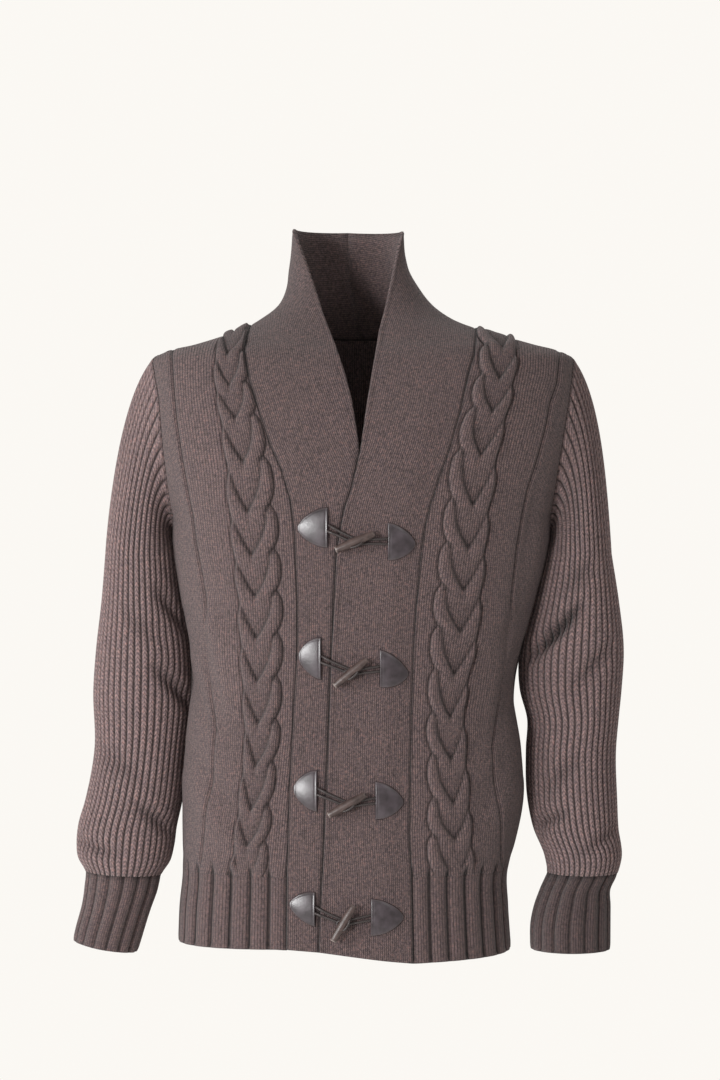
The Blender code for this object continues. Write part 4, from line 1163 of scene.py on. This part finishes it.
def tube(name, path, radius, sides, material, worn=None):
    """A closed round tube along a path: rings square to the path, its ends closed by flat faces."""
    path = np.asarray(path)
    way = unit(np.gradient(path, axis=0))
    out = np.array((0.0, -1.0, 0.0))
    side = unit(np.cross(way, out))
    front = np.cross(side, way)
    a = np.arange(sides) * 2 * math.pi / sides
    r = np.asarray(radius)[:, None, None] * np.ones((len(path), 1, 1))
    a = a[None, :, None]
    p = path[:, None] + r * (np.cos(a) * side[:, None] + np.sin(a) * front[:, None])
    wide = sides + 1
    corner = np.arange(len(path) * wide).reshape(len(path), wide)
    vertex = np.arange(len(path) * sides).reshape(len(path), sides)[:, np.arange(wide) % sides]
    groups = [quads(corner)[:, ::-1], corner[:1, :-1], corner[-1:, :-1][:, ::-1]]
    length = np.concatenate(([0.0], np.cumsum(np.linalg.norm(np.diff(path, axis=0), axis=1))))
    uv = np.stack((np.arange(wide) / sides * CORD_MAP[0] * np.ones((len(path), 1)),
                   length[:, None] * CORD_MAP[1] * np.ones(wide)), -1)
    piece = mesh_piece(name, p.reshape(-1, 3), groups, vertex.ravel(), uv.reshape(-1, 2), material)
    keep(piece, "worn", np.repeat(np.zeros(len(path)) if worn is None else worn, sides))
    return piece


def smooth_path(points, count):
    """A path of count points through a few given ones."""
    points = np.asarray(points)
    knots = np.concatenate(([0.0], np.cumsum(np.linalg.norm(np.diff(points, axis=0), axis=1))))
    return through(knots, points, np.linspace(0, knots[-1], count))


def cord_flat(start, end, lift, spread):
    """A doubled cord's path in the front's plane: out, round a small bend, and back."""
    start, end = np.array(start), np.array(end)
    way = (end - start) / np.linalg.norm(end - start)
    side = np.array((-way[1], way[0]))
    run = np.linalg.norm(end - start)
    share = np.linspace(0, 1, 7)
    wide = np.interp(share, (0, 0.4, 1), spread)
    there = start + way * (share * run)[:, None]
    turn = np.radians(np.linspace(60, -60, 5))
    loop = end + spread[2] * (np.cos(turn)[:, None] * way + np.sin(turn)[:, None] * side)
    flat = np.concatenate((there + side * wide[:, None], loop, (there - side * wide[:, None])[::-1]))
    high = np.interp(share, *np.array(lift).T)
    high = np.concatenate((high, np.full(5, high[-1]), high[::-1]))
    return smooth_path(over_front(flat[:, 0], flat[:, 1], high), 90)


CORD_RADIUS = 0.00135


def make_fastening(number, horn, laced):
    """A toggle, the loop it is hooked through and the cord that holds it."""
    x0, z0, x1, z1 = TOGGLES[number - 1]
    middle = np.array(((x0 + x1) / 2, (z0 + z1) / 2))
    right, left = PATCHES[2 * number - 2], PATCHES[2 * number - 1]
    low = LAP + 0.0016
    high = low + 0.0026
    loop_start = (right[3] - 0.0010, (right[4] + right[5]) / 2)
    hold_start = (left[3] + 0.0010, (left[4] + left[5]) / 2)
    reach = middle + 0.0042 * unit(middle - np.array(loop_start))
    path = cord_flat(loop_start, reach, ((0.0, 0.0018), (0.16, low + 0.0004), (1.0, low)),
                     (0.0030, 0.0021, 0.0021))
    loop = tube("cord_%d_loop_braid" % number, path, np.full(len(path), CORD_RADIUS), 14, laced)
    reach = middle + 0.0042 * unit(middle - np.array(hold_start))
    path = cord_flat(hold_start, reach, ((0.0, LAP + 0.0016), (0.2, low + 0.0014), (0.45, high), (1.0, high)),
                     (0.0026, 0.0021, 0.0021))
    hold = tube("cord_%d_hold_braid" % number, path, np.full(len(path), CORD_RADIUS), 14, laced)
    lift = high + 0.0012 + 0.0004 + 0.0043
    ends = over_front(np.array((x0, x1)), np.array((z0, z1)), np.array((lift, lift)))
    share = np.concatenate(([0.0, 0.006, 0.02], np.linspace(0.05, 0.95, 37), [0.98, 0.994, 1.0]))
    radius = 0.001 * np.interp(share, (0.0, 0.006, 0.02, 0.06, 0.25, 0.5, 0.75, 0.94, 0.98, 0.994, 1.0),
                               (2.9, 3.15, 3.3, 3.6, 4.2, 4.4, 4.1, 3.4, 3.1, 2.7, 2.3))
    path = ends[0] + (ends[1] - ends[0]) * share[:, None]
    worn = np.clip(1 - share / 0.03, 0, 1) + 0.4 * np.clip((share - 0.97) / 0.03, 0, 1)
    toggle = tube("toggle_%d_horn" % number, path, radius, 28, horn, worn)
    way = unit(ends[1] - ends[0])
    face = np.array((0.0, -1.0, 0.0))
    under = unit(np.cross(way, face))
    if under[2] > 0:
        under = -under
    turn = np.radians(np.linspace(-62, 62, 9))
    arc = (ends.mean(0) + 0.0068 * np.sin(turn)[:, None] * way
           + (0.0030 + 0.0026 * np.cos(turn)[:, None]) * unit(under + face * 0.75))
    stitch = tube("cord_%d_turn" % number, smooth_path(arc, 30), np.full(30, 0.0011), 12, laced)
    attach(loop, "cord", "cord_%d_loop" % number)
    attach(hold, "cord", "cord_%d_hold" % number)
    attach(toggle, "toggle", "toggle_%d" % number)
    attach(stitch, "cord")


# ================================================================ studio

def make_camera():
    """Level with the chest, straight on, far enough for a long lens."""
    data = bpy.data.cameras.new("camera")
    data.lens = 93.4
    data.sensor_width = 36.0
    bpy.context.scene.view_settings.view_transform = "Standard"
    camera = bpy.data.objects.new("camera", data)
    camera.location = (0.0104, -2.9, -0.2256)
    camera.rotation_euler = (math.pi / 2, 0.0, 0.0)
    bpy.context.scene.collection.objects.link(camera)
    bpy.context.scene.camera = camera


# each area light: name, place, size in metres, watts
LIGHTS = (("key", (-2.3, -1.7, 0.25), 1.1, 46.0), ("strip", (-1.25, -2.30, -0.30), 0.45, 42.0),
          ("fill", (1.7, -2.3, 1.3), 1.5, 9.0), ("behind", (0.6, 2.4, 1.8), 1.6, 40.0))
# brightness of the surround for light that reaches the piece, against 1 where it is seen straight
SURROUND = 0.47


def make_lights():
    """A broad key from the upper left of the view, a weaker fill, a rim behind, and an even surround."""
    for name, place, size, energy in LIGHTS:
        data = bpy.data.lights.new(name, "AREA")
        data.size = size
        data.energy = energy
        lamp = bpy.data.objects.new(name, data)
        lamp.location = place
        way = np.array((0.0, 0.0, -0.25)) - np.array(place)
        lamp.rotation_euler = (math.atan2(math.hypot(way[0], way[1]), -way[2]), 0.0,
                               math.atan2(way[1], way[0]) - math.pi / 2)
        bpy.context.scene.collection.objects.link(lamp)
    world = bpy.data.worlds.new("surround")
    bpy.context.scene.world = world
    world.use_nodes = True
    tree = world.node_tree
    shown = Wire(tree, None).node("ShaderNodeLightPath", out=0)
    strength = shown * (1.0 - SURROUND) + SURROUND
    back = tree.nodes["Background"]
    back.inputs["Color"].default_value = (0.965, 0.94, 0.90, 1.0)
    tree.links.new(strength.socket, back.inputs["Strength"])


def make_floor():
    """A pale round floor well below the hem."""
    rings, spokes = np.linspace(0.02, 1.6, 24)[:, None], np.arange(96) * 2 * math.pi / 96
    p = np.stack((rings * np.cos(spokes), rings * np.sin(spokes), np.full((24, 96), -1.15)), -1)
    mesh = bpy.data.meshes.new("floor")
    ids = np.arange(24 * 96).reshape(24, 96)[:, np.arange(97) % 96]
    mesh.from_pydata(p.reshape(-1, 3).tolist(), [], [ids[0, :-1].tolist()] + quads(ids).tolist())
    stuff, start, shader = new_material("floor_paper", 0.9)
    place = start.node("ShaderNodeTexCoord", out=3)
    put(noise(start, place, 3.0).mix((0.86, 0.85, 0.83), (0.90, 0.89, 0.87)), shader, "Base Color")
    mesh.materials.append(stuff)
    floor = bpy.data.objects.new("floor", mesh)
    bpy.context.scene.collection.objects.link(floor)


# ================================================================ the whole

make_camera()
make_lights()
make_floor()

# the lines, valley and groove settings below paint shade into the gutters, the sleeves' rib valleys and the
# ribs' grooves
front_knit = knit_material("knit_front", 1.04, 0.0010, 0.92, speckle=1.8,
                           lines=(("gap_in", 1.7, 0.85), ("gap_out", 1.7, 0.85), ("gap_side", 1.9, 0.85)))
plain_knit = knit_material("knit_plain", 1.04, 0.0010, 0.92, speckle=1.8)
rib_knit = knit_material("knit_rib", 0.83, 0.0008, 0.75, groove=HEM_RIB / WALE)
# the left cuff's yarn is a darker copy (tone 0.60 against 0.86): painted shade where the light falls off on
# that side
cuff_knits = {"right": knit_material("knit_cuff_right", 0.86, 0.0008, 0.75, groove=CUFF_RIB / WALE),
              "left": knit_material("knit_cuff_left_painted_shade", 0.60, 0.0008, 0.75, groove=CUFF_RIB / WALE)}
sleeve_knit = knit_material("knit_sleeve", 1.38, 0.0018, 0.80, valley=0.90)
band_knit = knit_material("knit_band", 0.99, 0.0009, 0.90, speckle=1.8)
leather = leather_material("leather")
horn = horn_material("toggle_horn")
laced = cord_material("cord_braid")

make_back(plain_knit)
for side in ("right", "left"):
    make_front(side, front_knit)
    make_band(side, band_knit)
    make_sleeve(side, sleeve_knit)
    make_cuff(side, cuff_knits[side])
    seam_z = np.linspace(line(HEM, SEAM_TURN[side]), RIB_TOP, HEM_ROWS + 1)[:, None]
    seam_angle = angle_at(line(SEAM_LINE[side], seam_z), seam_z)
    make_hem("hem_rib_front_" + side, seam_angle, SIGN[side] * math.pi / 2, 160, FRONT_RIBS, rib_knit)
make_hem("hem_rib_back", math.pi / 2, 3 * math.pi / 2, 400, BACK_RIBS, rib_knit)
for index, row in enumerate(PATCHES):
    make_patch(index // 2 + 1, row, leather)
for number in range(1, 5):
    make_fastening(number, horn, laced)
